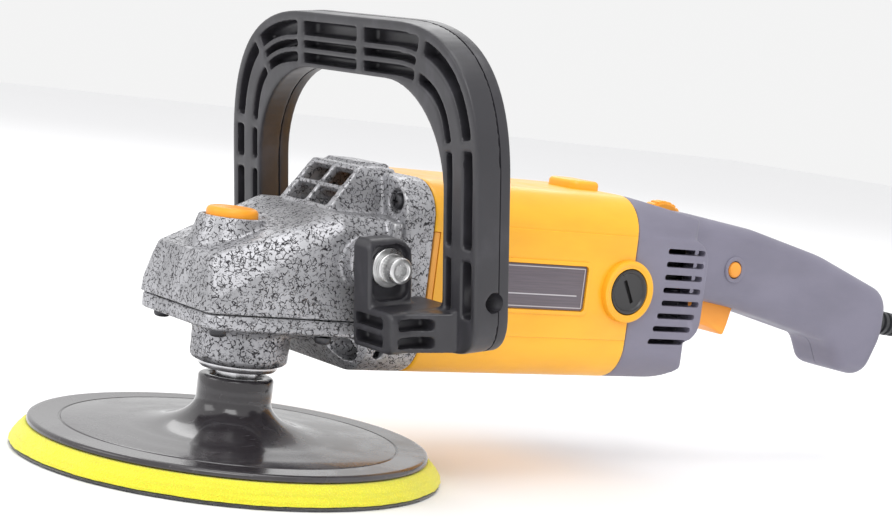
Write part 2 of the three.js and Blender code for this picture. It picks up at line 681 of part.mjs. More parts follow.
function makeGearHousing() {
  const lockPad = ring(0, LOCK_CAP_RADIUS + 3.4, NOSE_TOP - 8, LOCK_CAP_TOP - 5, "z");
  const sideBoss = bothBosses();
  const outer = join(headForm(), collarForm(), at(lockPad, -LOCK_RADIUS, 0, 0), sideBoss);
  const roof = GEAR_TOP + 3;
  const gearRoom = at(
    extruded(
      headOutline(NOSE_HALF_WIDTH_TOP, SIDE_HALF_WIDTH - 10, NOSE_X + HEAD_WALL, FLANGE_X - 4),
      roof - COVER_BOTTOM + 10,
    ),
    0,
    0,
    COVER_BOTTOM - 10,
  );
  const bevelRoom = ring(0, BEVEL_RADIUS + 3, COVER_BOTTOM, BEVEL_RIM + 4, "z");
  const idlerTop = IDLER_TOP_BEARING + IDLER_BEARING.width + FIT;
  const idlerSeat = ring(0, IDLER_BEARING.outer, COVER_BOTTOM, idlerTop, "z");
  const pilotTop = PILOT_BOTTOM + PILOT_BEARING.width + FIT;
  const pilotSeat = ring(0, PILOT_BEARING.outer, COVER_BOTTOM, pilotTop, "z");
  const gearSweep = ring(0, (MODULE * GEAR_TEETH) / 2 + 2, COVER_BOTTOM - FIT, roof, "z");
  const lockBore = ring(0, LOCK_PIN_RADIUS + CLEAR, COVER_BOTTOM, LOCK_CAP_TOP, "z");
  const recessFloor = LOCK_CAP_TOP - 7.5 - LOCK_TRAVEL;
  const lockRecess = ring(0, LOCK_CAP_RADIUS + CLEAR, recessFloor, LOCK_CAP_TOP + 1, "z");
  const pinionFront = IDLER_X + IDLER_BEARING.outer + 1;
  const pinionBore = ring(0, BEVEL_PINION_RADIUS + 3, pinionFront, WALL_X + 2, "x");
  const shaftBore = ring(0, SHAFT_RADIUS + CLEAR, WALL_X - 5, SPLIT_X + 1, "x");
  const bearingSeat = ring(0, FRONT_BEARING.outer, FRONT_BEARING_X - FIT, SPLIT_X + 1, "x");
  const pinionRoom = box(IDLER_X, WALL_X, -12, 12, COVER_BOTTOM, MOTOR_HEIGHT);
  const coverRoom = at(
    extruded(coverOutline(FIT), HOUSING_BOTTOM - COVER_BOTTOM + FIT),
    0,
    0,
    COVER_BOTTOM - FIT,
  );
  const idlerBossRoom = ring(0, IDLER_BEARING.outer + 3 + FIT, 0, HOUSING_BOTTOM, "z");
  const bossRoom = ring(0, BOSS_RADIUS + 2, 0, COVER_BOTTOM, "z");
  const duct = box(24, SPLIT_X + 1, -16, 16, HEAD_TOP + 2, MOTOR_HEIGHT + MOTOR_HALF_HEIGHT - 3);
  const screwWells = FLANGE_SCREWS.flatMap(([y, z]) => [
    at(ring(0, SCREW_RADIUS + 1.6, 20, FLANGE_X + 2, "x"), 0, y, MOTOR_HEIGHT + z),
    at(ring(0, 2 + FIT, 20, SPLIT_X + 1, "x"), 0, y, MOTOR_HEIGHT + z),
  ]);
  const coverScrewHoles = COVER_SCREWS.map(([x, y]) =>
    at(ring(0, 2 + FIT, COVER_BOTTOM, COVER_TOP + 8, "z"), x, y, 0),
  );
  const handleBores = ring(0, BOLT_RADIUS + FIT, -60, 60, "y");
  const middle = box(-60, 60, -24, 24, -60, 60);
  const threads = at(cut(handleBores, middle), BOLT_AXIS.x, 0, BOLT_AXIS.z);
  const hollow = cut(
    outer,
    gearRoom,
    gearSweep,
    at(bevelRoom, IDLER_X, 0, 0),
    at(idlerSeat, IDLER_X, 0, 0),
    pilotSeat,
    at(lockBore, -LOCK_RADIUS, 0, 0),
    at(lockRecess, -LOCK_RADIUS, 0, 0),
    at(pinionBore, 0, 0, MOTOR_HEIGHT),
    at(shaftBore, 0, 0, MOTOR_HEIGHT),
    at(bearingSeat, 0, 0, MOTOR_HEIGHT),
    pinionRoom,
    coverRoom,
    at(idlerBossRoom, IDLER_X, 0, 0),
    bossRoom,
    duct,
    ...airWindows(),
    ...screwWells,
    ...coverScrewHoles,
    threads,
  );
  piece("gear_housing", hollow, CAST);
}

/** The round bosses on the head's sides that the front handle bolts to. */
function bothBosses() {
  const reach = EAR_INNER - FIT;
  const boss = ring(0, HANDLE_BOSS_RADIUS, -reach, reach, "y");
  const hidden = box(-60, 60, -30, 30, -60, 60);
  return at(join(cut(boss, hidden), ring(0, 8, -31, 31, "y")), BOLT_AXIS.x, 0, BOLT_AXIS.z);
}

/** The level outline of the lower cover. */
function coverOutline(grow = 0) {
  const nose = NOSE_HALF_WIDTH_BOTTOM + 1.6 + grow;
  const back = SIDE_HALF_WIDTH + 1.2 + grow;
  return headOutline(nose, back, NOSE_X - 3 - grow, FLANGE_X - 5 + grow);
}

const COVER_SCREWS = [
  [-25, -24],
  [-25, 24],
  [18, -34.5],
  [18, 34.5],
];

function makeLowerCover() {
  const plate = at(extruded(coverOutline(), COVER_THICKNESS), 0, 0, COVER_BOTTOM);
  const boss = turned(
    [
      [0, BOSS_BOTTOM],
      [BOSS_RADIUS - 1.5, BOSS_BOTTOM],
      [BOSS_RADIUS, BOSS_BOTTOM + 1.5],
      [BOSS_RADIUS + 1.4, COVER_BOTTOM + 1],
      [0, COVER_BOTTOM + 1],
    ],
    "z",
  );
  const idlerBoss = ring(0, IDLER_BEARING.outer + 3, IDLER_FLOOR - 2, COVER_BOTTOM + 1, "z");
  const bore = ring(0, SPINDLE_BEARING.outer, BEARING_FLOOR - FIT, COVER_TOP + 1, "z");
  const mouth = ring(0, SPINDLE_RADIUS + 4, 0, COVER_TOP, "z");
  const floor = GEAR_BOTTOM - 0.8;
  const gearPocket = ring(0, (MODULE * GEAR_TEETH) / 2 + 2, floor, COVER_TOP + 1, "z");
  const pinionPocket = ring(0, IDLER_BEARING.outer, IDLER_FLOOR - FIT, COVER_TOP + 1, "z");
  const screws = COVER_SCREWS.map(([x, y]) => at(ring(0, 2 + FIT, 0, 90, "z"), x, y, 0));
  const notches = [-1, 1].map((side) =>
    at(box(-4, 4, -2, 2, -1, 1.6), 0, side * BOSS_RADIUS, BOSS_BOTTOM),
  );
  const cover = cut(
    join(plate, boss, at(idlerBoss, IDLER_X, 0, 0)),
    bore,
    mouth,
    gearPocket,
    at(pinionPocket, IDLER_X, 0, 0),
    ...screws,
    ...notches,
  );
  piece("lower_cover", cover, CAST);
}

/** A pan-head screw about Z with its head below the given height and its shank above. */
function panScrew(seat, shank) {
  const [head, top] = [SCREW_RADIUS, SCREW_HEAD_HEIGHT];
  const body = turned(
    [
      [0, seat - top],
      [head - 0.8, seat - top],
      [head, seat - top + 1],
      [head, seat],
      [2, seat],
      [2, seat + shank],
      [0, seat + shank],
    ],
    "z",
  );
  return cut(body, box(-2.2, 2.2, -0.5, 0.5, seat - top - 1, seat - top + 1.4));
}

function makeScrews() {
  COVER_SCREWS.forEach(([x, y], i) => {
    const screw = at(panScrew(COVER_BOTTOM - FIT, COVER_THICKNESS + 6), x, y, 0);
    piece(`cover_screw_${i + 1}`, screw, BLACK);
  });
  FLANGE_SCREWS.forEach(([y, z], i) => {
    const screw = aim(panScrew(0, SPLIT_X - FLANGE_X + 8), "x");
    piece(`flange_screw_${i + 1}`, at(screw, FLANGE_X + 2 - FIT, y, MOTOR_HEIGHT + z), BLACK);
  });
}

function makeSpindleLock() {
  const capBottom = LOCK_CAP_TOP - 6.5;
  const tip = GEAR_TOP + 0.6;
  const profile = [
    [0, tip],
    [LOCK_PIN_RADIUS - 0.5, tip],
    [LOCK_PIN_RADIUS, tip + 0.5],
    [LOCK_PIN_RADIUS, capBottom],
    [LOCK_CAP_RADIUS, capBottom],
    [LOCK_CAP_RADIUS, LOCK_CAP_TOP - 1.6],
    [LOCK_CAP_RADIUS - 1.4, LOCK_CAP_TOP - 0.5],
    [0, LOCK_CAP_TOP],
  ];
  piece("spindle_lock_button", at(turned(profile, "z"), -LOCK_RADIUS, 0, 0), YELLOW);
}

// ---- Motor housing ------------------------------------------------------------------------

function makeMotorHousing() {
  const block = { from: 157, halfWidth: 11, height: 4.2 };
  const shell = alongX(motorOutline(), SPLIT_X, MOTOR_BACK_X);
  const bossReach = MOTOR_HALF_WIDTH + BRUSH_BOSS_HEIGHT;
  const bosses = ring(0, BRUSH_BOSS_RADIUS, -bossReach, bossReach, "y");
  const top = MOTOR_HALF_HEIGHT + block.height;
  const base = MOTOR_HALF_HEIGHT - 2;
  const raised = box(block.from, MOTOR_BACK_X, -block.halfWidth, block.halfWidth, base, top);
  const bore = ring(0, MOTOR_BORE, SPLIT_X - 1, MOTOR_BACK_X + 20, "x");
  const capHole = ring(0, BRUSH_CAP_RADIUS + FIT, -60, 60, "y");
  const sideSlots = box(SPLIT_X - 1, SPLIT_X + 3.2, -60, 60, -12.5, 20.5);
  const labelSide = LABEL_HEIGHT / 2 + FIT;
  const labelEnd = LABEL_X + LABEL_LENGTH + FIT;
  const labelInner = MOTOR_HALF_WIDTH - LABEL_THICKNESS;
  const labelRoom = box(LABEL_X - FIT, labelEnd, -60, -labelInner, -labelSide, labelSide);
  const screwHole = ring(0, 2 + FIT, SPLIT_X - 1, SPLIT_X + 12, "x");
  const screwHoles = FLANGE_SCREWS.map(([y, z]) => at(screwHole, 0, y, z));
  const housing = cut(
    join(shell, at(bosses, BRUSH_X, 0, 0), raised),
    bore,
    at(capHole, BRUSH_X, 0, 0),
    sideSlots,
    labelRoom,
    ...screwHoles,
  );
  piece("motor_housing", at(housing, 0, 0, MOTOR_HEIGHT), YELLOW);
}

function makeLabelPlate() {
  const inner = MOTOR_HALF_WIDTH - LABEL_THICKNESS + FIT;
  const outer = inner + LABEL_THICKNESS;
  const side = LABEL_HEIGHT / 2;
  const plate = box(LABEL_X, LABEL_X + LABEL_LENGTH, -outer, -inner, -side, side);
  piece("label_plate", at(plate, 0, 0, MOTOR_HEIGHT), LABEL);
}

function makeBrushes() {
  bothSides((name, side) => {
    const brush = new THREE.Group();
    brush.position.set(BRUSH_X, 0, MOTOR_HEIGHT);
    brush.rotation.z = side < 0 ? 0 : Math.PI;
    group.add(brush);
    const face = MOTOR_HALF_WIDTH + BRUSH_BOSS_HEIGHT;
    const capInner = MOTOR_HALF_WIDTH - 4;
    const cap = turned(
      [
        [0, -face - 0.5],
        [BRUSH_CAP_RADIUS - 1, -face - 0.5],
        [BRUSH_CAP_RADIUS, -face + 0.5],
        [BRUSH_CAP_RADIUS, -capInner],
        [0, -capInner],
      ],
      "y",
    );
    const coinSlot = box(-5.5, 5.5, -face - 2, -face + 1.4, -0.9, 0.9);
    piece(`brush_cap_${name}`, cut(cap, coinSlot), BLACK, brush);
    const { width, height, length } = CARBON;
    const tip = COMMUTATOR_RADIUS + 0.5;
    const [halfWidth, halfHeight] = [width / 2, height / 2];
    const [w, h] = [halfWidth + 2, halfHeight + 2];
    const tube = box(-w, w, -capInner + FIT, -COMMUTATOR_RADIUS - 4, -h, h);
    const [slotWidth, slotHeight] = [halfWidth + FIT, halfHeight + FIT];
    const slot = box(-slotWidth, slotWidth, -60, 0, -slotHeight, slotHeight);
    piece(`brush_holder_${name}`, cut(tube, slot), COPPER, brush);
    const carbon = box(-halfWidth, halfWidth, -tip - length, -tip, -halfHeight, halfHeight);
    piece(`carbon_brush_${name}`, carbon, CARBON_GREY, brush);
  });
}

function makeBaffleRing() {
  const from = SPLIT_X + FIT;
  const collar = ring(FAN_RADIUS - 8, MOTOR_BORE - FIT, from, from + 3.5, "x");
  piece("baffle_ring", at(collar, 0, 0, MOTOR_HEIGHT), ORANGE);
}

// ---- Motor --------------------------------------------------------------------------------

function makeMotor() {
  const motor = new THREE.Group();
  motor.position.z = MOTOR_HEIGHT;
  group.add(motor);
  const pinionBack = IDLER_X + BEVEL_RADIUS;
  const shaftFront = IDLER_X + BEVEL_RADIUS - BEVEL_FACE - 1;
  const rearStep = REAR_BEARING_X - 2;
  const seat = BEVEL_PINION_RADIUS - 4.2;
  const shaft = turned(
    [
      [0, shaftFront],
      [seat, shaftFront],
      [seat, pinionBack + 1],
      [SHAFT_RADIUS, pinionBack + 1],
      [SHAFT_RADIUS, rearStep],
      [REAR_BEARING.bore, rearStep],
      [REAR_BEARING.bore, REAR_BEARING_X + REAR_BEARING.width],
      [0, REAR_BEARING_X + REAR_BEARING.width],
    ],
    "x",
  );
  piece("armature_shaft", shaft, STEEL, motor);
  const pinion = bevelGear(BEVEL_PINION_TEETH, BEVEL_TEETH, seat + FIT, 0.4).rotate([0, -90, 0]);
  const meshTurn = BEVEL_PINION_TEETH % 2 ? 0 : 180 / BEVEL_PINION_TEETH;
  piece("drive_pinion", at(pinion.rotate([meshTurn, 0, 0]), IDLER_X, 0, 0), STEEL, motor);
  piece("armature_front_bearing", bearing(FRONT_BEARING, FRONT_BEARING_X, "x"), STEEL, motor);
  piece("armature_rear_bearing", bearing(REAR_BEARING, REAR_BEARING_X, "x"), STEEL, motor);
  makeFan(motor);
  const inner = SHAFT_RADIUS + FIT;
  const core = turned(
    [
      [inner, ARMATURE_X - 8],
      [ARMATURE_RADIUS - 8, ARMATURE_X - 8],
      [ARMATURE_RADIUS - 4, ARMATURE_X],
      [ARMATURE_RADIUS, ARMATURE_X],
      [ARMATURE_RADIUS, ARMATURE_X + ARMATURE_LENGTH],
      [ARMATURE_RADIUS - 4, ARMATURE_X + ARMATURE_LENGTH],
      [ARMATURE_RADIUS - 8, ARMATURE_X + ARMATURE_LENGTH + 8],
      [inner, ARMATURE_X + ARMATURE_LENGTH + 8],
    ],
    "x",
  );
  piece("armature_core", core, COPPER, motor);
  const from = BRUSH_X - COMMUTATOR_LENGTH / 2;
  piece("commutator", ring(inner, COMMUTATOR_RADIUS, from, from + COMMUTATOR_LENGTH, "x"), COPPER, motor);
  const statorEnd = ARMATURE_X + ARMATURE_LENGTH + 2;
  const stator = ring(ARMATURE_RADIUS + AIR_GAP, MOTOR_BORE - FIT, ARMATURE_X - 2, statorEnd, "x");
  piece("stator", stator, STEEL, motor);
  makeBearingBracket(motor);
}

/** The cooling fan: a back disc, a hub and straight blades. */
function makeFan(parent) {
  const hub = ring(SHAFT_RADIUS + FIT, SHAFT_RADIUS + 5, FAN_X, FAN_X + FAN_DEPTH, "x");
  const back = FAN_X + FAN_DEPTH;
  const disc = ring(SHAFT_RADIUS + 3, FAN_RADIUS, back - 1.6, back, "x");
  const blade = box(FAN_X, back - 0.5, -0.8, 0.8, SHAFT_RADIUS + 9, FAN_RADIUS - 0.6);
  const turn = 360 / FAN_BLADES;
  const blades = Array.from({ length: FAN_BLADES }, (_, i) => blade.rotate([i * turn, 0, 0]));
  piece("fan", join(hub, disc, ...blades), BLACK, parent);
}

/** The plate that holds the rear bearing, with four windows for the air. */
function makeBearingBracket(parent) {
  const radius = MOTOR_HALF_HEIGHT - 7;
  const seat = REAR_BEARING.outer;
  const back = REAR_BEARING_X + REAR_BEARING.width + FIT;
  const plate = ring(SHAFT_RADIUS + 1, radius, BRACKET_X, BRACKET_X + BRACKET_THICKNESS, "x");
  const hub = ring(SHAFT_RADIUS + 1, seat + 3, BRACKET_X, back, "x");
  const pocket = ring(0, seat, REAR_BEARING_X - FIT, back + 1, "x");
  const window = box(BRACKET_X - 1, BRACKET_X + BRACKET_THICKNESS + 1, -8, 8, seat + 5, radius - 5);
  const windows = [45, 135, 225, 315].map((angle) => window.rotate([angle, 0, 0]));
  piece("bearing_bracket", cut(join(plate, hub), pocket, ...windows), BLACK, parent);
}

// ---- Rear housing -------------------------------------------------------------------------

/** The rear housing's solid form: the motor's tail and the grip with its hook, inset by a wall. */
function rearForm(inset) {
  const front = MOTOR_BACK_X + FIT - (inset > 0 ? 1 : 0);
  const low = MOTOR_HEIGHT - MOTOR_HALF_HEIGHT + inset;
  const i = inset;
  const tailSide = outline([
    [front, low],
    [215 - i, low, 28],
    [219 - i, 84],
    [237 - i, 84],
    [237 - i, 115 - i, 10],
    [front, MOTOR_HEIGHT + MOTOR_HALF_HEIGHT - i],
  ]);
  const tailPlan = outline([
    [front, -MOTOR_HALF_WIDTH + i],
    [207 - i, -MOTOR_HALF_WIDTH + 1.5 + i, 9],
    [228 - i, -HANDLE_HALF_WIDTH + i, 8],
    [237 - i, -HANDLE_HALF_WIDTH + 4 + i, 6],
    [237 - i, HANDLE_HALF_WIDTH - 4 - i, 6],
    [228 - i, HANDLE_HALF_WIDTH - i, 8],
    [207 - i, MOTOR_HALF_WIDTH - 1.5 - i, 9],
    [front, MOTOR_HALF_WIDTH - i],
  ]);
  const tail = alongX(motorOutline(-i), front, 260).translate([0, 0, MOTOR_HEIGHT])
    .intersect(acrossY(tailSide, 60))
    .intersect(extruded(tailPlan, 200));
  const grip = outline([
    [214, 121.8 - i],
    [214, 84 + i],
    [262, 76.5 + i],
    [330 + i, 61.6 + i, 8],
    [337.5 + i, 48 + i, 6],
    [356 - i, 44.5 + i, 10],
    [366 - i, 66, 8],
    [366 - i, 88 - i, 10],
    [316, 104.8 - i, 20],
    [268, 115 - i, 20],
  ]);
  const round = Math.max(GRIP_ROUND - inset, 2);
  return join(tail, acrossY(grip, HANDLE_HALF_WIDTH - i, { round, steps: 2, curves: 5 }));
}

/** The tool that opens the grip's underside for the trigger. */
function triggerSlot() {
  const reach = TRIGGER_LENGTH / 2 + CLEAR;
  const side = TRIGGER_HALF_WIDTH + CLEAR;
  const tool = box(-reach, reach, -side, side, -8, REAR_WALL + 2);
  return at(tool.rotate([0, (UNDERSIDE_SLOPE * 180) / Math.PI, 0]), ...TRIGGER_PLACE.toArray());
}

const TRIGGER_PLACE = new THREE.Vector3(254.5, 0, 77.9);
const LOCK_BUTTON = { x: 255, z: 95.6 };
const DIAL = { x: 219.5, z: 111.4 };
const VENT = { count: 8, top: 104.6, pitch: 5.9, height: 2.5, from: 191, to: 209 };
const SHELL_SCREWS = [
  [231.5, 90],
  [292, 92],
  [350, 58],
];

function makeRearHousing() {
  const brushRoom = at(ring(0, BRUSH_BOSS_RADIUS + FIT, -60, 60, "y"), BRUSH_X, 0, MOTOR_HEIGHT);
  const vents = Array.from({ length: VENT.count }, (_, i) => {
    const z = VENT.top - i * VENT.pitch;
    const shift = i > 4 ? (i - 4) * -1.6 : 0;
    return box(VENT.from + shift, VENT.to + shift, -60, 60, z - VENT.height / 2, z + VENT.height / 2);
  });
  const dialSide = DIAL_THICKNESS / 2 + CLEAR;
  const dialRoom = at(ring(0, DIAL_RADIUS + CLEAR, -dialSide, dialSide, "y"), DIAL.x, 0, DIAL.z);
  const reliefRoom = ring(0, RELIEF_BIG_RADIUS + FIT, -14, 10, "x");
  const droop = (CORD_DROOP * 180) / Math.PI;
  const reliefHole = at(reliefRoom.rotate([0, droop, 0]), ...CORD_EXIT.toArray());
  const w = HANDLE_HALF_WIDTH;
  const collar = ring(0, BUTTON_RADIUS + 2.4, -w - 0.9, -w + REAR_WALL, "y");
  const buttonCollar = at(collar, LOCK_BUTTON.x, 0, LOCK_BUTTON.z);
  const buttonHole = at(ring(0, BUTTON_RADIUS + 0.5, -60, 0, "y"), LOCK_BUTTON.x, 0, LOCK_BUTTON.z);
  const post = ring(0, 4.2, 1 - w, w - 1, "y");
  const posts = SHELL_SCREWS.map(([x, z]) => at(post, x, 0, z));
  const bores = SHELL_SCREWS.flatMap(([x, z]) => [
    at(ring(0, 1.5 + FIT, 4 - w, 60, "y"), x, 0, z),
    at(ring(0, 3 + FIT, w - 4, 60, "y"), x, 0, z),
  ]);
  const shell = join(cut(rearForm(0), rearForm(REAR_WALL)), ...posts);
  const opened = cut(shell, brushRoom, ...vents, dialRoom, triggerSlot(), reliefHole, ...bores);
  bothSides((name, side) => {
    const side0 = half(opened, 1, (side * FIT) / 2, side > 0);
    const finished = side < 0 ? cut(join(side0, buttonCollar), buttonHole) : side0;
    piece(`rear_housing_${name}`, finished, GREY);
  });
  SHELL_SCREWS.forEach(([x, z], i) => {
    const head = w - 4 + FIT;
    const body = join(ring(0, 1.5, 6 - w, head + 1, "y"), ring(0, 3, head, head + 2.4, "y"));
    const screw = cut(body, box(-1.6, 1.6, head + 1.2, head + 3, -0.4, 0.4));
    piece(`shell_screw_${i + 1}`, at(screw, x, 0, z), BLACK);
  });
}

function makeSwitchgear() {
  const switchgear = new THREE.Group();
  switchgear.position.copy(TRIGGER_PLACE);
  switchgear.rotation.y = UNDERSIDE_SLOPE;
  group.add(switchgear);
  const flange = REAR_WALL + FIT;
  const trigger = outline([
    [-TRIGGER_LENGTH / 2, -TRIGGER_DEPTH + 2, 2],
    [TRIGGER_LENGTH / 2 - 1.5, -TRIGGER_DEPTH, 2],
    [TRIGGER_LENGTH / 2, flange + 2],
    [-TRIGGER_LENGTH / 2, flange + 2],
  ]);
  const side = TRIGGER_HALF_WIDTH;
  const stopSide = side + 1.6;
  const stopEnd = TRIGGER_LENGTH / 2 + 2;
  const stop = box(-stopEnd, stopEnd, -stopSide, stopSide, flange + 1, flange + 3);
  const lever = acrossY(trigger, side, { round: 1.5, steps: 2, curves: 4 });
  piece("trigger", join(lever, stop), ORANGE, switchgear);
  const floor = flange + 3 + TRIGGER_TRAVEL + CLEAR;
  piece("switch_body", box(-15, 19, -9, 9, floor, floor + 15), BLACK, switchgear);
  const face = HANDLE_HALF_WIDTH + 1.9;
  const stem = HANDLE_HALF_WIDTH - REAR_WALL - FIT;
  const button = turned(
    [
      [0, -face],
      [BUTTON_RADIUS - 0.8, -face],
      [BUTTON_RADIUS, -face + 0.8],
      [BUTTON_RADIUS, -stem],
      [BUTTON_RADIUS + 1.2, -stem],
      [BUTTON_RADIUS + 1.2, -stem + 1.6],
      [0, -stem + 1.6],
    ],
    "y",
  );
  piece("lock_on_button", at(button, LOCK_BUTTON.x, 0, LOCK_BUTTON.z), ORANGE);
  const wheel = turned(
    [
      [2 + FIT, -DIAL_THICKNESS / 2],
      [DIAL_RADIUS - 0.8, -DIAL_THICKNESS / 2],
      [DIAL_RADIUS, -DIAL_THICKNESS / 2 + 0.8],
      [DIAL_RADIUS, DIAL_THICKNESS / 2 - 0.8],
      [DIAL_RADIUS - 0.8, DIAL_THICKNESS / 2],
      [2 + FIT, DIAL_THICKNESS / 2],
    ],
    "y",
  );
  const notch = box(-0.7, 0.7, -10, 10, DIAL_RADIUS - 0.7, DIAL_RADIUS + 1);
  const notches = Array.from({ length: 15 }, (_, i) => notch.rotate([0, i * 24, 0]));
  piece("speed_dial", at(cut(wheel, ...notches), DIAL.x, 0, DIAL.z), YELLOW);
  const boardTop = DIAL.z - DIAL_RADIUS - 1.5;
  const board = box(DIAL.x - 20, DIAL.x + 6.5, -11, 11, boardTop - 12, boardTop);
  const cheekFace = DIAL_THICKNESS / 2 + 0.6;
  const cheek = box(DIAL.x - 4, DIAL.x + 4, cheekFace, cheekFace + 2.4, boardTop - 1, DIAL.z + 3);
  const axle = at(ring(0, 2, -DIAL_THICKNESS / 2, DIAL_THICKNESS / 2 + 1, "y"), DIAL.x, 0, DIAL.z);
  piece("speed_controller", join(board, cheek, axle), BLACK);
}

// ---- Front handle -------------------------------------------------------------------------

/** The arch of the front handle in Y and Z, inset from its outer edge and its inner edge. */
function archOutline(outerInset, bandWidth) {
  const outer = LOOP_HALF_WIDTH - outerInset;
  const top = LOOP_TOP - outerInset;
  const inner = outer - bandWidth;
  const bottom = LOOP_BOTTOM + outerInset;
  const sill = LOOP_BOTTOM + FOOT_HEIGHT - Math.max(0, LOOP_BAND - outerInset - bandWidth);
  const end = FOOT_REACH - 10;
  const corner = Math.max(LOOP_CORNER - 0.8 * outerInset, 10);
  const innerCorner = Math.max(corner - 0.75 * bandWidth, 10);
  return outline([
    [-end, bottom],
    [-outer, bottom, LOOP_FOOT_CORNER],
    [-outer, top, corner],
    [outer, top, corner],
    [outer, bottom, LOOP_FOOT_CORNER],
    [end, bottom],
    [end, sill],
    [inner, sill, 4],
    [inner, top - bandWidth, innerCorner],
    [-inner, top - bandWidth, innerCorner],
    [-inner, sill, 4],
    [-end, sill],
  ]);
}

/** The whole area under the arch, inset from its outer edge, as a solid through the front shell. */
function underArch(inset) {
  const side = LOOP_HALF_WIDTH - inset;
  const top = LOOP_TOP - inset;
  const corner = LOOP_CORNER - 0.8 * inset;
  const shape = outline([
    [-side, LOOP_BOTTOM - 1],
    [-side, top, corner],
    [side, top, corner],
    [side, LOOP_BOTTOM - 1],
  ]);
  return alongX(shape, LOOP_SETBACK - 1, LOOP_SETBACK + POCKET_DEPTH, { curves: 4 });
}

/** The pockets that core out the front of the arch, in bands that follow it, with ribs between. */
function archPockets() {
  const through = LOOP_BOTTOM + 200;
  const bands = [
    { inset: 4.2, width: 5.2, from: LOOP_BOTTOM + 5 },
    { inset: 11, width: 4, from: 46 },
    { inset: 18, width: 3.4, from: LOOP_BOTTOM + FOOT_HEIGHT + 3 },
  ];
  const ribs = [-36, 0, 36].map((y) => box(-60, 60, y - 1.4, y + 1.4, LOOP_TOP - LOOP_BAND - 2, through));
  const rungs = [8, 44].map((z) => box(-60, 60, -120, 120, z - 1.4, z + 1.4));
  const corners = [-1, 1].map((side) => {
    const rib = box(-60, 60, -1.4, 1.4, -40, 40).rotate([-side * 45, 0, 0]);
    return at(rib, 0, side * (LOOP_HALF_WIDTH - 25), LOOP_TOP - 25);
  });
  return bands.map(({ inset, width, from }) => {
    const band = cut(underArch(inset), underArch(inset + width));
    return cut(half(band, 2, from, true), ...ribs, ...rungs, ...corners);
  });
}

/** One ear and foot of the front handle, on the +Y side. */
function handleEar() {
  const back = LOOP_SETBACK + 8;
  const front = -EAR_HALF_WIDTH;
  const [inner, outer] = [EAR_INNER, EAR_INNER + EAR_THICKNESS];
  const rear = EAR_HALF_WIDTH;
  const upright = alongX(
    outline([
      [inner, LOOP_BOTTOM + 1],
      [outer, LOOP_BOTTOM + 1],
      [outer, EAR_TOP, 7],
      [inner, EAR_TOP],
    ]),
    front,
    rear,
    { round: 2, steps: 2 },
  );
  const foot = alongX(
    outline([
      [inner, LOOP_BOTTOM],
      [FOOT_REACH, LOOP_BOTTOM, 6],
      [FOOT_REACH, LOOP_BOTTOM + FOOT_HEIGHT, 6],
      [inner, LOOP_BOTTOM + FOOT_HEIGHT],
    ]),
    front,
    back,
    { round: 2, steps: 2 },
  );
  const dishFloor = LOOP_BOTTOM + FOOT_HEIGHT + 1;
  const dish = box(front + 2.2, rear + 4, outer - EAR_DISH, outer + 10, dishFloor, EAR_TOP - 3);
  const bore = ring(0, BOLT_RADIUS + FIT, 0, 120, "y");
  const slots = [-1, 1].map((row) => {
    const middle = LOOP_BOTTOM + FOOT_HEIGHT / 2 + row * 3.6;
    return join(
      box(front - 1, front + 7, inner + 4, FOOT_REACH - 3, middle - 2.4, middle + 2.4),
      box(front + 4, LOOP_SETBACK - 3, FOOT_REACH - 6, FOOT_REACH + 1, middle - 2.4, middle + 2.4),
    );
  });
  const footTop = LOOP_BOTTOM + FOOT_HEIGHT;
  const web = box(front - 2, front + 3.5, FOOT_REACH - 6.5, FOOT_REACH + 2, LOOP_BOTTOM, footTop);
  return cut(join(upright, foot), dish, bore, ...slots.map((slot) => cut(slot, web)));
}

function makeFrontHandle() {
  const handle = new THREE.Group();
  handle.position.copy(BOLT_AXIS);
  handle.rotation.y = -HANDLE_TILT;
  group.add(handle);
  const loop = alongX(archOutline(0, LOOP_BAND), LOOP_SETBACK, LOOP_SETBACK + LOOP_DEPTH, {
    round: LOOP_ROUND,
    steps: 2,
    curves: 5,
  });
  const split = LOOP_SETBACK + FRONT_SHELL_DEPTH;
  const ear = handleEar();
  const sideHole = at(ring(0, 4, -120, -LOOP_HALF_WIDTH + 8, "y"), split - 2, 0, -10);
  const holes = [sideHole, sideHole.mirror([0, 1, 0])];
  const front = cut(half(loop, 0, split, false), ...archPockets());
  const frontShell = cut(join(front, ear, ear.mirror([0, 1, 0])), ...holes);
  piece("handle_front_shell", frontShell, BLACK, handle);
  piece("handle_rear_shell", cut(half(loop, 0, split + FIT, true), ...holes), BLACK, handle);
  makeHandleFasteners(handle);
}

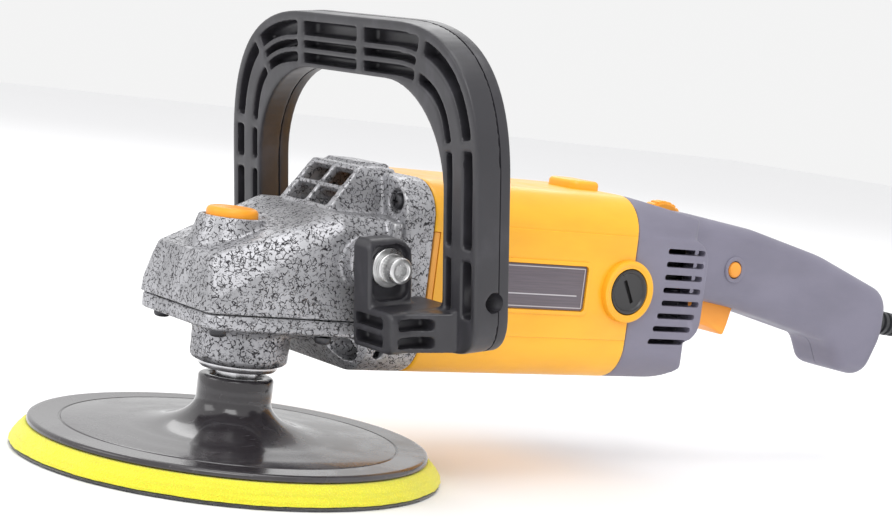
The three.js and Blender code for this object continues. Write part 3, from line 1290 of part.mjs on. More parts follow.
/** The bolts that clamp the front handle, each with a captive spring washer, and flat washers. */
function makeHandleFasteners(parent) {
  bothSides((name, side) => {
    const seat = EAR_INNER + EAR_THICKNESS - EAR_DISH + FIT;
    const spring = seat + WASHER_THICKNESS + FIT;
    const head = spring + SPRING_WASHER_THICKNESS;
    const top = head + BOLT_HEAD_HEIGHT;
    const tip = EAR_INNER - BOLT_ENGAGEMENT;
    const place = (body) => (side > 0 ? body : body.mirror([0, 1, 0]));
    const washer = ring(BOLT_RADIUS + FIT, WASHER_RADIUS, seat, seat + WASHER_THICKNESS, "y");
    piece(`handle_washer_${name}`, place(washer), STEEL, parent);
    const bolt = turned(
      [
        [0, tip],
        [BOLT_RADIUS, tip],
        [BOLT_RADIUS, spring],
        [BOLT_HEAD_RADIUS + 0.4, spring],
        [BOLT_HEAD_RADIUS + 0.4, head - 0.3],
        [BOLT_HEAD_RADIUS - 0.6, head - 0.3],
        [BOLT_HEAD_RADIUS - 0.6, head],
        [BOLT_HEAD_RADIUS, head],
        [BOLT_HEAD_RADIUS, top - 0.6],
        [BOLT_HEAD_RADIUS - 0.6, top],
        [0, top],
      ],
      "y",
    );
    const socket = aim(at(extruded(hexagon(2.9), 5), 0, 0, top - 4), "y");
    piece(`handle_bolt_${name}`, place(cut(bolt, socket)), STEEL, parent);
  });
}

// ---- Cord ---------------------------------------------------------------------------------

/** The cord's route from the strain relief's tip to the coil's side. */
const CORD_ROUTE = [
  [418.3, 0, 67.0],
  [428, 0, 65.9],
  [440, 0, 63.8],
  [452, 0, 59.6],
  [464, 0, 52.4],
  [475, 0.2, 42.6],
  [486, 0.6, 31.4],
  [497, 1.2, 21.2],
  [509, 1.6, 12.6],
  [521, 1.2, 7.0],
  [534, 0.4, 4.4],
  [546, -1.6, 4.05],
  [556, -4.0, 4.05],
  [571, -6.0, 4.05],
  [586, -11.8, 4.05],
  [599, -21.5, 4.05],
];

function makeStrainRelief() {
  const relief = new THREE.Group();
  relief.position.copy(CORD_EXIT);
  relief.rotation.y = CORD_DROOP;
  group.add(relief);
  const sleeve = turned(
    [
      [0, -11],
      [RELIEF_BIG_RADIUS, -11],
      [RELIEF_BIG_RADIUS, 4],
      [RELIEF_SMALL_RADIUS + 0.4, 0.6 * RELIEF_LENGTH],
      [RELIEF_SMALL_RADIUS, RELIEF_LENGTH],
      [0, RELIEF_LENGTH],
    ],
    "x",
  );
  piece("strain_relief", sleeve, RUBBER, relief);
}

function makeCord() {
  const places = CORD_ROUTE.map((p) => new THREE.Vector3(...p));
  const route = new THREE.CatmullRomCurve3(places, false, "centripetal");
  const section = new THREE.Shape();
  for (let i = 0; i < CORD_SIDES; i++) {
    const angle = (2 * Math.PI * i) / CORD_SIDES;
    const [x, y] = [Math.cos(angle), Math.sin(angle)].map((v) => (v * CORD_DIAMETER) / 2);
    if (i === 0) section.moveTo(x, y);
    else section.lineTo(x, y);
  }
  const tube = new THREE.ExtrudeGeometry(section, { steps: 18, extrudePath: route, bevelEnabled: false });
  piece("cord_tube", solid(tube), RUBBER);
  const reach = (COIL_LAYERS * CORD_DIAMETER) / 2;
  const height = COIL_LAYERS * CORD_DIAMETER;
  const coil = turned(
    [
      [COIL_MID_RADIUS - reach, 0],
      [COIL_MID_RADIUS + reach, 0],
      [COIL_MID_RADIUS + reach, height],
      [COIL_MID_RADIUS - reach, height],
    ],
    "z",
  );
  piece("cord_coil", at(coil, ...COIL_CENTRE.toArray()), RUBBER);
}

/** A round two-pin mains plug with its sleeve, lying beside the coil. */
function makePlug() {
  const radius = 17.5;
  const sleeveStart = 34;
  const sleeveLength = 24;
  const bodyStart = sleeveStart + sleeveLength;
  const bodyLength = 30;
  const pinLength = 19;
  const body = turned(
    [
      [0, sleeveStart],
      [5, sleeveStart],
      [6.5, bodyStart],
      [12, bodyStart + 1],
      [radius - 1, bodyStart + 10],
      [radius, bodyStart + 12],
      [radius, bodyStart + bodyLength - 1.5],
      [radius - 1.5, bodyStart + bodyLength],
      [0, bodyStart + bodyLength],
    ],
    "x",
  );
  const end = bodyStart + bodyLength + pinLength;
  const pin = ring(0, 2.4, bodyStart + bodyLength - 2, end, "x");
  const pins = [-1, 1].map((side) => at(pin, 0, side * 9.5, 0));
  const plug = join(body, ...pins).rotate([0, 0, 180]);
  const beside = COIL_MID_RADIUS + (COIL_LAYERS - 1) * CORD_DIAMETER * 0.5;
  piece("plug", at(plug, COIL_CENTRE.x, COIL_CENTRE.y - beside, radius + 0.3), RUBBER);
}

// ---- Assembly -----------------------------------------------------------------------------

makeHookLayer();
makeFoamPad();
makeBackingPlate();
makeSpindle();
makeSpindleGear();
makeSpindleBearings();
makeIdler();
makeGearHousing();
makeLowerCover();
makeScrews();
makeSpindleLock();
makeMotorHousing();
makeLabelPlate();
makeBrushes();
makeBaffleRing();
makeMotor();
makeRearHousing();
makeSwitchgear();
makeFrontHandle();
makeStrainRelief();
makeCord();
makePlug();

export default group;
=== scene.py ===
"""Looks of a corded rotary polisher with a D-shaped front handle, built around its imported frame."""
import json
import logging
import math
from dataclasses import dataclass
from enum import Enum
from typing import Callable, Iterable, Sequence

import bmesh
import bpy
import numpy as np
from mathutils import Matrix, Vector

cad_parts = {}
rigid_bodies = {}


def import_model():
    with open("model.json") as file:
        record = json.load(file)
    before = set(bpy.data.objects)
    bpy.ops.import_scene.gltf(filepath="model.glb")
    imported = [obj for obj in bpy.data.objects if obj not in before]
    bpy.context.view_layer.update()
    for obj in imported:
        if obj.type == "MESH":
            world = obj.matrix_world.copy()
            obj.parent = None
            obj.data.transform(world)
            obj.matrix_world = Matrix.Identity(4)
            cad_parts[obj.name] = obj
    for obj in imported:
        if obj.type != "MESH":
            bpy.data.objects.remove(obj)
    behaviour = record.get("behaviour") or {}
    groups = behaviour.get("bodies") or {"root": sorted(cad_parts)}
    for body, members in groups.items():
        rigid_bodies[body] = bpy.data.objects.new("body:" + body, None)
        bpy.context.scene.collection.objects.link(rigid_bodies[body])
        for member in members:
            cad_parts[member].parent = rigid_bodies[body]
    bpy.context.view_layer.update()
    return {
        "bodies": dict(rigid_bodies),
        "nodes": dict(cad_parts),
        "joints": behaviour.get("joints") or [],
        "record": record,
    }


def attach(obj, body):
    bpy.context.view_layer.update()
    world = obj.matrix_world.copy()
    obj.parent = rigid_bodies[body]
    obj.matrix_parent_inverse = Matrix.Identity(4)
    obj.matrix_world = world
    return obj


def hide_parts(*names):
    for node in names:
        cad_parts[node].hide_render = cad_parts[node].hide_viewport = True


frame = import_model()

LOG = logging.getLogger("polisher")
MM = 0.001

Point2 = tuple[float, float]
Point3 = tuple[float, float, float]
Socket = bpy.types.NodeSocket
Thing = bpy.types.Object


class Axis(Enum):
    """The axis that a turned or extruded form runs along."""

    X = 0
    Y = 1
    Z = 2


class Cut(Enum):
    """What a boolean does with its tool."""

    ADD = "UNION"
    REMOVE = "DIFFERENCE"
    KEEP = "INTERSECT"


# ---- Outlines -----------------------------------------------------------------------------------


def fillet(corners: Iterable[Sequence[float]], steps: int = 6) -> list[Point2]:
    """Rounds the corners of an outline with true arcs.

    Args:
        corners: Each corner as (x, y) or (x, y, radius), in order round the outline.
        steps: Facets in each arc.

    Returns:
        The outline's points.
    """
    listed = [(tuple(c) + (0.0,))[:3] for c in corners]
    points: list[Point2] = []
    for i, (x, y, radius) in enumerate(listed):
        here = Vector((x, y))
        back = Vector(listed[i - 1][:2]) - here
        on = Vector(listed[(i + 1) % len(listed)][:2]) - here
        angle = back.angle(on)
        if radius <= 0 or angle > math.pi - 0.02:
            points.append((x, y))
            continue
        reach = min(radius / math.tan(angle / 2), 0.49 * back.length, 0.49 * on.length)
        radius = reach * math.tan(angle / 2)
        centre = here + (back.normalized() + on.normalized()).normalized() * radius / math.sin(angle / 2)
        first = here + back.normalized() * reach - centre
        last = here + on.normalized() * reach - centre
        turn = first.angle_signed(last)
        for k in range(steps + 1):
            arm = first.copy()
            arm.rotate(Matrix.Rotation(-turn * k / steps, 2))
            points.append((centre.x + arm.x, centre.y + arm.y))
    return points


def rounded_rectangle(half_width: float, half_height: float, radius: float, steps: int = 8) -> list[Point2]:
    """The outline of a rectangle about the origin with round corners."""
    w, h = half_width, half_height
    return fillet([(w, h, radius), (-w, h, radius), (-w, -h, radius), (w, -h, radius)], steps)


# ---- Meshes -------------------------------------------------------------------------------------


def thing(name: str, vertices: Sequence[Sequence[float]], faces: Sequence[Sequence[int]]) -> Thing:
    """Makes an object from vertices in millimetres, with its normals facing out."""
    mesh = bpy.data.meshes.new(name)
    mesh.from_pydata([tuple(c * MM for c in v) for v in vertices], [], [list(f) for f in faces])
    made = bpy.data.objects.new(name, mesh)
    bpy.context.scene.collection.objects.link(made)
    tidy(made)
    return made


def tidy(obj: Thing) -> Thing:
    """Merges doubled vertices and turns the faces outwards."""
    work = bmesh.new()
    work.from_mesh(obj.data)
    bmesh.ops.remove_doubles(work, verts=work.verts, dist=2e-6)
    bmesh.ops.dissolve_degenerate(work, edges=work.edges, dist=1e-6)
    bmesh.ops.recalc_face_normals(work, faces=work.faces)
    work.to_mesh(obj.data)
    work.free()
    return obj


def turned(
    name: str, profile: Sequence[Point2], axis: Axis = Axis.Z, centre: Point3 = (0, 0, 0),
    segments: int = 96,
) -> Thing:
    """A solid of revolution.

    Args:
        name: The object's name.
        profile: A closed outline of (radius, place along the axis), or one that ends on the axis.
        axis: The axis of revolution.
        centre: Where the profile's zero lies.
        segments: Facets round the axis.

    Returns:
        The new object.
    """
    vertices: list[Point3] = []
    rings: list[list[int]] = []
    for radius, along in profile:
        if radius < 1e-6:
            rings.append([len(vertices)] * segments)
            vertices.append((0.0, 0.0, along))
            continue
        rings.append(list(range(len(vertices), len(vertices) + segments)))
        for k in range(segments):
            angle = 2 * math.pi * k / segments
            vertices.append((radius * math.cos(angle), radius * math.sin(angle), along))
    faces = []
    for i, ring in enumerate(rings):
        following = rings[(i + 1) % len(rings)]
        for k in range(segments):
            m = (k + 1) % segments
            face = list(dict.fromkeys((ring[k], ring[m], following[m], following[k])))
            if len(face) > 2:
                faces.append(face)
    place = {
        Axis.Z: lambda x, y, z: (x, y, z),
        Axis.X: lambda x, y, z: (z, x, y),
        Axis.Y: lambda x, y, z: (y, z, x),
    }[axis]
    moved = [tuple(a + b for a, b in zip(place(*v), centre)) for v in vertices]
    return thing(name, moved, faces)


def prism(name: str, outline: Sequence[Point2], axis: Axis, low: float, high: float) -> Thing:
    """Extrudes an outline along an axis.

    Args:
        name: The object's name.
        outline: Points across the axis: (y, z) for X, (x, z) for Y, (x, y) for Z.
        axis: The axis to extrude along.
        low: Where the extrusion starts on the axis.
        high: Where it ends.

    Returns:
        The new object.
    """
    def place(point: Point2, along: float) -> Point3:
        """The three coordinates of an outline point at a place on the axis."""
        a, b = point
        return {Axis.X: (along, a, b), Axis.Y: (a, along, b), Axis.Z: (a, b, along)}[axis]

    count = len(outline)
    vertices = [place(p, low) for p in outline] + [place(p, high) for p in outline]
    faces = [list(range(count)), list(range(count, 2 * count))]
    faces += [[i, (i + 1) % count, count + (i + 1) % count, count + i] for i in range(count)]
    return thing(name, vertices, faces)


def block(name: str, low: Point3, high: Point3) -> Thing:
    """A square-edged block between two corners, used as a building or cutting solid."""
    outline = [(low[0], low[1]), (high[0], low[1]), (high[0], high[1]), (low[0], high[1])]
    return prism(name, outline, Axis.Z, low[2], high[2])


def loft(name: str, rings: Sequence[Sequence[Point3]]) -> Thing:
    """Skins closed rings of equal count, and caps both ends."""
    count = len(rings[0])
    vertices = [v for ring in rings for v in ring]
    faces = [list(range(count)), list(range(len(vertices) - count, len(vertices)))]
    for i in range(len(rings) - 1):
        a, b = i * count, (i + 1) * count
        faces += [[a + k, a + (k + 1) % count, b + (k + 1) % count, b + k] for k in range(count)]
    return thing(name, vertices, faces)


def hull(name: str, points: Iterable[Point3]) -> Thing:
    """The convex solid around points."""
    work = bmesh.new()
    for point in points:
        work.verts.new(Vector(point) * MM)
    result = bmesh.ops.convex_hull(work, input=work.verts)
    loose = [v for v in result["geom_interior"] if isinstance(v, bmesh.types.BMVert)]
    loose += [v for v in result["geom_unused"] if isinstance(v, bmesh.types.BMVert)]
    bmesh.ops.delete(work, geom=list(set(loose)), context="VERTS")
    bmesh.ops.recalc_face_normals(work, faces=work.faces)
    mesh = bpy.data.meshes.new(name)
    work.to_mesh(mesh)
    work.free()
    made = bpy.data.objects.new(name, mesh)
    bpy.context.scene.collection.objects.link(made)
    return made


def seal(obj: Thing) -> Thing:
    """Closes the hairline holes, a few edges round, that cutting can leave."""
    work = bmesh.new()
    work.from_mesh(obj.data)
    bmesh.ops.remove_doubles(work, verts=work.verts, dist=1e-6)
    rims = [e for e in work.edges if e.is_boundary]
    bmesh.ops.holes_fill(work, edges=rims, sides=8)
    work.to_mesh(obj.data)
    work.free()
    return obj


def settle(obj: Thing) -> Thing:
    """Turns an object's live modifiers into plain mesh."""
    graph = bpy.context.evaluated_depsgraph_get()
    mesh = bpy.data.meshes.new_from_object(obj.evaluated_get(graph))
    obj.modifiers.clear()
    old = obj.data
    obj.data = mesh
    bpy.data.meshes.remove(old)
    return obj


def carve(obj: Thing, kind: Cut, *tools: Thing) -> Thing:
    """Applies booleans with tools, and removes the tools.

    Args:
        obj: The solid to work on.
        kind: Whether to add, remove or keep what the tools hold.
        *tools: The tool solids.

    Returns:
        The same object.
    """
    for tool in tools:
        change = obj.modifiers.new("cut", "BOOLEAN")
        change.operation = kind.value
        change.solver = "EXACT"
        change.object = tool
        settle(obj)
        bpy.data.objects.remove(tool)
    return obj


def cast(obj: Thing, voxel: float, rounds: int, keep: float = 1.0) -> Thing:
    """Remeshes a solid evenly and softens its edges, as a mould does.

    Args:
        obj: A closed solid.
        voxel: The size of the new faces in millimetres.
        rounds: How many smoothing rounds to run.
        keep: The share of faces kept afterwards.

    Returns:
        The same object.
    """
    remesh = obj.modifiers.new("remesh", "REMESH")
    remesh.mode = "VOXEL"
    remesh.voxel_size = voxel * MM
    if rounds:
        smooth = obj.modifiers.new("smooth", "SMOOTH")
        smooth.iterations = rounds
        smooth.factor = 0.5
    if keep < 1:
        thin = obj.modifiers.new("thin", "DECIMATE")
        thin.ratio = keep
    return settle(obj)


def reshape(obj: Thing, change: Callable[[np.ndarray], np.ndarray]) -> Thing:
    """Moves every vertex by a function of its place, in millimetres."""
    count = len(obj.data.vertices)
    flat = np.zeros(count * 3, np.float64)
    obj.data.vertices.foreach_get("co", flat)
    moved = change(flat.reshape(-1, 3) / MM) * MM
    obj.data.vertices.foreach_set("co", moved.ravel())
    obj.data.update()
    return obj


def soften(obj: Thing, width: float, segments: int = 3, angle: float = 35.0) -> Thing:
    """Rounds the sharp edges of a solid with a bevel."""
    bevel = obj.modifiers.new("bevel", "BEVEL")
    bevel.width = width * MM
    bevel.segments = segments
    bevel.limit_method = "ANGLE"
    bevel.angle_limit = math.radians(angle)
    bevel.use_clamp_overlap = True
    return settle(obj)


def copy_of(obj: Thing, name: str) -> Thing:
    """A separate copy of an object and its mesh."""
    made = bpy.data.objects.new(name, obj.data.copy())
    bpy.context.scene.collection.objects.link(made)
    return made


def transformed(obj: Thing, matrix: Matrix) -> Thing:
    """Applies a matrix, whose translation is in millimetres, to an object's mesh."""
    scaled = matrix.copy()
    scaled.translation = scaled.translation * MM
    obj.data.transform(scaled)
    obj.data.update()
    return obj


def join(name: str, parts: Sequence[Thing]) -> Thing:
    """Joins loose shells into one object without merging them."""
    vertices: list[Point3] = []
    faces: list[list[int]] = []
    for part in parts:
        start = len(vertices)
        vertices += [tuple(v.co / MM) for v in part.data.vertices]
        faces += [[start + i for i in p.vertices] for p in part.data.polygons]
        bpy.data.objects.remove(part)
    return thing(name, vertices, faces)


def dress(
    obj: Thing, finish: "Finish", body: str, replaces: Sequence[str] = (), angle: float = 38.0,
) -> Thing:
    """Shades a finished piece, gives it its material, and puts it on its body.

    Args:
        obj: The finished piece.
        finish: What its surface is made of.
        body: The body that it rides on.
        replaces: The nodes of the frame that it stands for.
        angle: Edges sharper than this stay sharp, in degrees.

    Returns:
        The same object.
    """
    obj.data.materials.clear()
    obj.data.materials.append(finish.material())
    if obj.type == "MESH":
        obj.data.polygons.foreach_set("use_smooth", [True] * len(obj.data.polygons))
        obj.data.set_sharp_from_angle(angle=math.radians(angle))
    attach(obj, body)
    if replaces:
        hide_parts(*replaces)
    LOG.info("%s on %s: %d faces", obj.name, body, len(obj.data.polygons) if obj.type == "MESH" else 0)
    return obj


# ---- Shader nodes -------------------------------------------------------------------------------


class Graph:
    """Builds the shader nodes of one material around a Principled surface."""

    def __init__(self, name: str) -> None:
        """Starts an empty node tree with its surface and output."""
        self.made = bpy.data.materials.new(name)
        self.made.use_nodes = True
        self.tree = self.made.node_tree
        self.tree.nodes.clear()
        self.shader = self.tree.nodes.new("ShaderNodeBsdfPrincipled")
        out = self.tree.nodes.new("ShaderNodeOutputMaterial")
        self.tree.links.new(self.shader.outputs[0], out.inputs[0])
        self.place: Socket = self.tree.nodes.new("ShaderNodeTexCoord").outputs["Object"]

    def add(self, kind: str, inputs: dict, out: str | int = 0, **settings: object) -> Socket:
        """Adds a node.

        Args:
            kind: The node's type, without its ShaderNode prefix.
            inputs: Values or sockets by input name or number.
            out: The output to return.
            **settings: The node's own options.

        Returns:
            The chosen output.
        """
        node = self.tree.nodes.new("ShaderNode" + kind)
        for key, value in settings.items():
            setattr(node, key, value)
        for key, value in inputs.items():
            self.feed(node.inputs[key], value)
        return node.outputs[out]

    def feed(self, socket: Socket, value: object) -> None:
        """Links a socket, or sets its value."""
        if isinstance(value, bpy.types.NodeSocket):
            self.tree.links.new(value, socket)
        elif isinstance(value, tuple) and len(value) == 3 and socket.type == "RGBA":
            socket.default_value = (*value, 1.0)
        else:
            socket.default_value = value

    def set(self, **inputs: object) -> None:
        """Sets or links the surface's inputs, named with underscores for spaces."""
        for key, value in inputs.items():
            self.feed(self.shader.inputs[key.replace("_", " ")], value)

    def stretch(self, x: float, y: float, z: float) -> Socket:
        """The object's coordinates scaled on each axis."""
        return self.add("Mapping", {"Vector": self.place, "Scale": (x, y, z)})

    def noise(
        self, scale: float, detail: float = 3.0, vector: Socket | None = None, rough: float = 0.55,
    ) -> Socket:
        """Noise with features of about 1/scale metres."""
        inputs = {"Vector": vector or self.place, "Scale": scale, "Detail": detail, "Roughness": rough}
        return self.add("TexNoise", inputs)

    def cells(self, scale: float, feature: str = "F1", vector: Socket | None = None) -> Socket:
        """The distance within cells of about 1/scale metres."""
        inputs = {"Vector": vector or self.place, "Scale": scale}
        return self.add("TexVoronoi", inputs, "Distance", feature=feature)

    def warped(self, scale: float, reach: float) -> Socket:
        """The object's coordinates pushed about by noise, by up to reach metres."""
        inputs = {"Vector": self.place, "Scale": scale, "Detail": 2.0}
        push = self.add("TexNoise", inputs, "Color")
        moved = self.add("VectorMath", {0: push, 1: (0.5, 0.5, 0.5)}, operation="SUBTRACT")
        scaled = self.add("VectorMath", {0: moved, "Scale": 2 * reach}, operation="SCALE")
        return self.add("VectorMath", {0: self.place, 1: scaled}, operation="ADD")

    def span(
        self, value: Socket, low: float, high: float, to_low: float = 0.0, to_high: float = 1.0,
    ) -> Socket:
        """Maps a range of a value smoothly onto another."""
        inputs = {"Value": value, "From Min": low, "From Max": high, "To Min": to_low, "To Max": to_high}
        return self.add("MapRange", inputs, interpolation_type="SMOOTHSTEP")

    def math(self, operation: str, first: object, second: object = 0.0) -> Socket:
        """One sum."""
        return self.add("Math", {0: first, 1: second}, operation=operation)

    def mix(self, share: object, first: object, second: object) -> Socket:
        """Blends two colours."""
        return self.add("Mix", {0: share, 6: first, 7: second}, 2, data_type="RGBA")

    def edges(self, low: float = 0.52, high: float = 0.6) -> Socket:
        """How far a place stands out from its surroundings, from 0 to 1."""
        return self.span(self.add("NewGeometry", {}, "Pointiness"), low, high)

    def bump(
        self, height: Socket, depth: float, strength: float = 0.5, normal: Socket | None = None,
    ) -> Socket:
        """A bump normal, with its depth in metres."""
        inputs = {"Height": height, "Distance": depth, "Strength": strength}
        if normal:
            inputs["Normal"] = normal
        return self.add("Bump", inputs)


Colour = tuple[float, float, float]


def shade(colour: Colour, factor: float) -> Colour:
    """A colour made lighter or darker."""
    return tuple(min(c * factor, 1.0) for c in colour)


# ---- Finishes -----------------------------------------------------------------------------------


@dataclass(frozen=True)
class Finish:
    """What a surface is made of, with its slot in the record."""

    name: str
    slot: str
    colour: Colour
    roughness: float = 0.5
    metallic: float = 0.0

    def material(self) -> bpy.types.Material:
        """The finish's material, made once."""
        found = bpy.data.materials.get(self.name)
        if found:
            return found
        graph = Graph(self.name)
        graph.made.diffuse_color = (*self.colour, 1.0)
        graph.set(Metallic=self.metallic)
        self.paint(graph)
        return graph.made

    def paint(self, g: Graph) -> None:
        """Draws the surface's pattern."""
        g.set(Base_Color=self.colour, Roughness=self.roughness)


@dataclass(frozen=True)
class CracklePaint(Finish):
    """Silver hammer paint that has drawn back into cells with dark wormy veins between."""

    cell: float = 2.0

    def paint(self, g: Graph) -> None:
        """Draws veins of two sizes, the cells' crowns and bare worn edges."""
        swept = g.warped(330.0, 0.0013)
        veins = g.span(g.cells(1000.0 / self.cell, "DISTANCE_TO_EDGE", swept), 0.02, 0.12)
        veins = g.math("MAXIMUM", veins, g.span(g.noise(560.0, 2.0), 0.47, 0.53))
        swept_fine = g.warped(700.0, 0.0007)
        fine = g.span(g.cells(1900.0 / self.cell, "DISTANCE_TO_EDGE", swept_fine), 0.01, 0.07)
        patches = g.span(g.noise(420.0, 3.0), 0.4, 0.5)
        fine = g.math("MAXIMUM", fine, patches)
        cover = g.math("MULTIPLY", veins, fine)
        worn = g.edges(0.525, 0.585)
        cover = g.math("MAXIMUM", cover, worn)
        tone = g.mix(
            g.span(g.noise(60.0, 4.0), 0.35, 0.65), shade(self.colour, 0.84), shade(self.colour, 1.12),
        )
        tone = g.mix(worn, tone, (0.8, 0.8, 0.81))
        tone = g.mix(cover, (0.028, 0.026, 0.03), tone)
        rough = g.span(cover, 0.0, 1.0, 0.62, self.roughness)
        g.set(Base_Color=tone, Roughness=rough)
        g.set(Normal=g.bump(cover, 0.00022, 0.55, g.bump(g.noise(800.0, 3.0), 0.00008, 0.3)))


@dataclass(frozen=True)
class Moulded(Finish):
    """Moulded plastic with fine spark grain, faint flow marks and polished edges."""

    grain: float = 1500.0
    relief: float = 0.3
    streak: float = 0.0
    coat: float = 0.0

    def paint(self, g: Graph) -> None:
        """Draws the grain, the flow marks, handling dust and rubbed edges."""
        grain = g.noise(self.grain, 2.0)
        flow = g.noise(24.0, 4.0, g.stretch(1.0, 1.0, 2.4))
        tone = g.mix(g.span(flow, 0.3, 0.7), shade(self.colour, 0.93), shade(self.colour, 1.06))
        if self.streak:
            smear = g.noise(120.0, 5.0, g.stretch(0.5, 1.0, 0.35))
            tone = g.mix(
                g.math("MULTIPLY", g.span(smear, 0.48, 0.72), self.streak), tone,
                shade(self.colour, 3.2),
            )
        rubbed = g.edges(0.53, 0.62)
        tone = g.mix(g.math("MULTIPLY", rubbed, 0.3), tone, shade(self.colour, 1.5))
        rough = g.span(g.noise(55.0, 4.0), 0.3, 0.7, self.roughness - 0.06, self.roughness + 0.07)
        g.set(Base_Color=tone, Roughness=rough)
        g.set(Normal=g.bump(grain, 0.00006, self.relief, g.bump(flow, 0.0004, 0.08)))
        g.set(Coat_Weight=self.coat, Coat_Roughness=0.2)


@dataclass(frozen=True)
class Metal(Finish):
    """Turned, plated or blackened metal with tool marks."""

    marks: float = 900.0
    turned_about: Axis = Axis.Z

    def paint(self, g: Graph) -> None:
        """Draws tool marks round the axis, smudges and small nicks."""
        flat = {
            Axis.X: (1.0, 0.06, 0.06), Axis.Y: (0.06, 1.0, 0.06), Axis.Z: (0.06, 0.06, 1.0),
        }[self.turned_about]
        lines = g.noise(self.marks, 3.0, g.stretch(*flat))
        smudge = g.span(g.noise(140.0, 4.0), 0.35, 0.7)
        tone = g.mix(smudge, shade(self.colour, 0.8), shade(self.colour, 1.1))
        tone = g.mix(g.math("MULTIPLY", g.edges(0.53, 0.6), 0.5), tone, shade(self.colour, 1.7))
        rough = g.math(
            "ADD", g.span(lines, 0.3, 0.7, -0.05, 0.07),
            g.span(smudge, 0.0, 1.0, self.roughness, self.roughness + 0.08),
        )
        g.set(Base_Color=tone, Roughness=rough, Normal=g.bump(lines, 0.00005, 0.35))


@dataclass(frozen=True)
class GlossyPlate(Finish):
    """Glossy moulded plate with sink marks, fine turning lines and hairline scuffs."""

    def paint(self, g: Graph) -> None:
        """Draws rings about the spindle, scuffs and a film of dust."""
        x, y, z = (g.add("SeparateXYZ", {0: g.place}, i) for i in range(3))
        radius = g.math("SQRT", g.math("ADD", g.math("MULTIPLY", x, x), g.math("MULTIPLY", y, y)))
        spun = g.add("CombineXYZ", {0: radius, 1: 0.0, 2: z})
        rings = g.noise(1400.0, 2.0, spun)
        scuffs = g.span(g.noise(420.0, 6.0, g.stretch(0.25, 1.3, 1.0)), 0.62, 0.74)
        dust = g.span(g.noise(36.0, 5.0), 0.42, 0.72)
        tone = g.mix(g.math("MULTIPLY", scuffs, 0.16), self.colour, (0.3, 0.28, 0.3))
        tone = g.mix(g.math("MULTIPLY", dust, 0.1), tone, (0.32, 0.3, 0.32))
        rough = g.math(
            "ADD", g.span(dust, 0.0, 1.0, self.roughness, self.roughness + 0.14),
            g.math("MULTIPLY", scuffs, 0.2),
        )
        g.set(Base_Color=tone, Roughness=rough, Coat_Weight=0.5, Coat_Roughness=0.08)
        g.set(Normal=g.bump(rings, 0.00003, 0.22, g.bump(g.noise(34.0, 2.0), 0.0006, 0.12)))


@dataclass(frozen=True)
class CutFoam(Finish):
    """Open-cell foam that was cut with a knife, with torn pores."""

    def paint(self, g: Graph) -> None:
        """Draws pores of two sizes, knife bands and soiled spots."""
        pores = g.span(g.cells(1250.0, "F1", g.warped(500.0, 0.0005)), 0.1, 0.62)
        small = g.span(g.cells(3300.0), 0.1, 0.6)
        bands = g.noise(260.0, 3.0, g.stretch(0.12, 0.12, 2.6))
        tone = g.mix(pores, shade(self.colour, 1.08), shade(self.colour, 0.88))
        tone = g.mix(g.span(bands, 0.4, 0.72, 0.0, 0.4), tone, shade(self.colour, 0.7))
        tone = g.mix(g.span(g.noise(90.0, 5.0), 0.66, 0.8, 0.0, 0.3), tone, (0.3, 0.28, 0.06))
        height = g.math("ADD", g.math("MULTIPLY", pores, -0.7), g.math("MULTIPLY", small, -0.3))
        g.set(Base_Color=tone, Roughness=0.95, Subsurface_Weight=0.25, Subsurface_Scale=0.002)
        g.set(Normal=g.bump(height, 0.0004, 0.7, g.bump(bands, 0.0005, 0.4)), Sheen_Weight=0.3)


@dataclass(frozen=True)
class Felt(Finish):
    """Looped nylon that holds the polishing cloth."""

    def paint(self, g: Graph) -> None:
        """Draws matted fibres and lint."""
        fibres = g.noise(1900.0, 5.0, g.warped(700.0, 0.0009))
        tone = g.mix(g.span(fibres, 0.35, 0.7), shade(self.colour, 0.55), shade(self.colour, 1.8))
        g.set(Base_Color=tone, Roughness=1.0, Sheen_Weight=0.6, Sheen_Roughness=0.5)
        g.set(Normal=g.bump(fibres, 0.0004, 0.9))


@dataclass(frozen=True)
class Rubber(Finish):
    """Soft black rubber or cord jacket with bloom and scuffs."""

    def paint(self, g: Graph) -> None:
        """Draws bloom, fine pitting and dusty rubs."""
        bloom = g.span(g.noise(70.0, 5.0), 0.4, 0.72)
        tone = g.mix(g.math("MULTIPLY", bloom, 0.45), self.colour, shade(self.colour, 2.1))
        rubs = g.span(g.noise(300.0, 5.0), 0.62, 0.75)
        tone = g.mix(g.math("MULTIPLY", rubs, 0.3), tone, (0.2, 0.2, 0.2))
        rough = g.span(bloom, 0.0, 1.0, self.roughness - 0.06, self.roughness + 0.1)
        g.set(Base_Color=tone, Roughness=rough, Normal=g.bump(g.noise(2200.0, 2.0), 0.00006, 0.4))


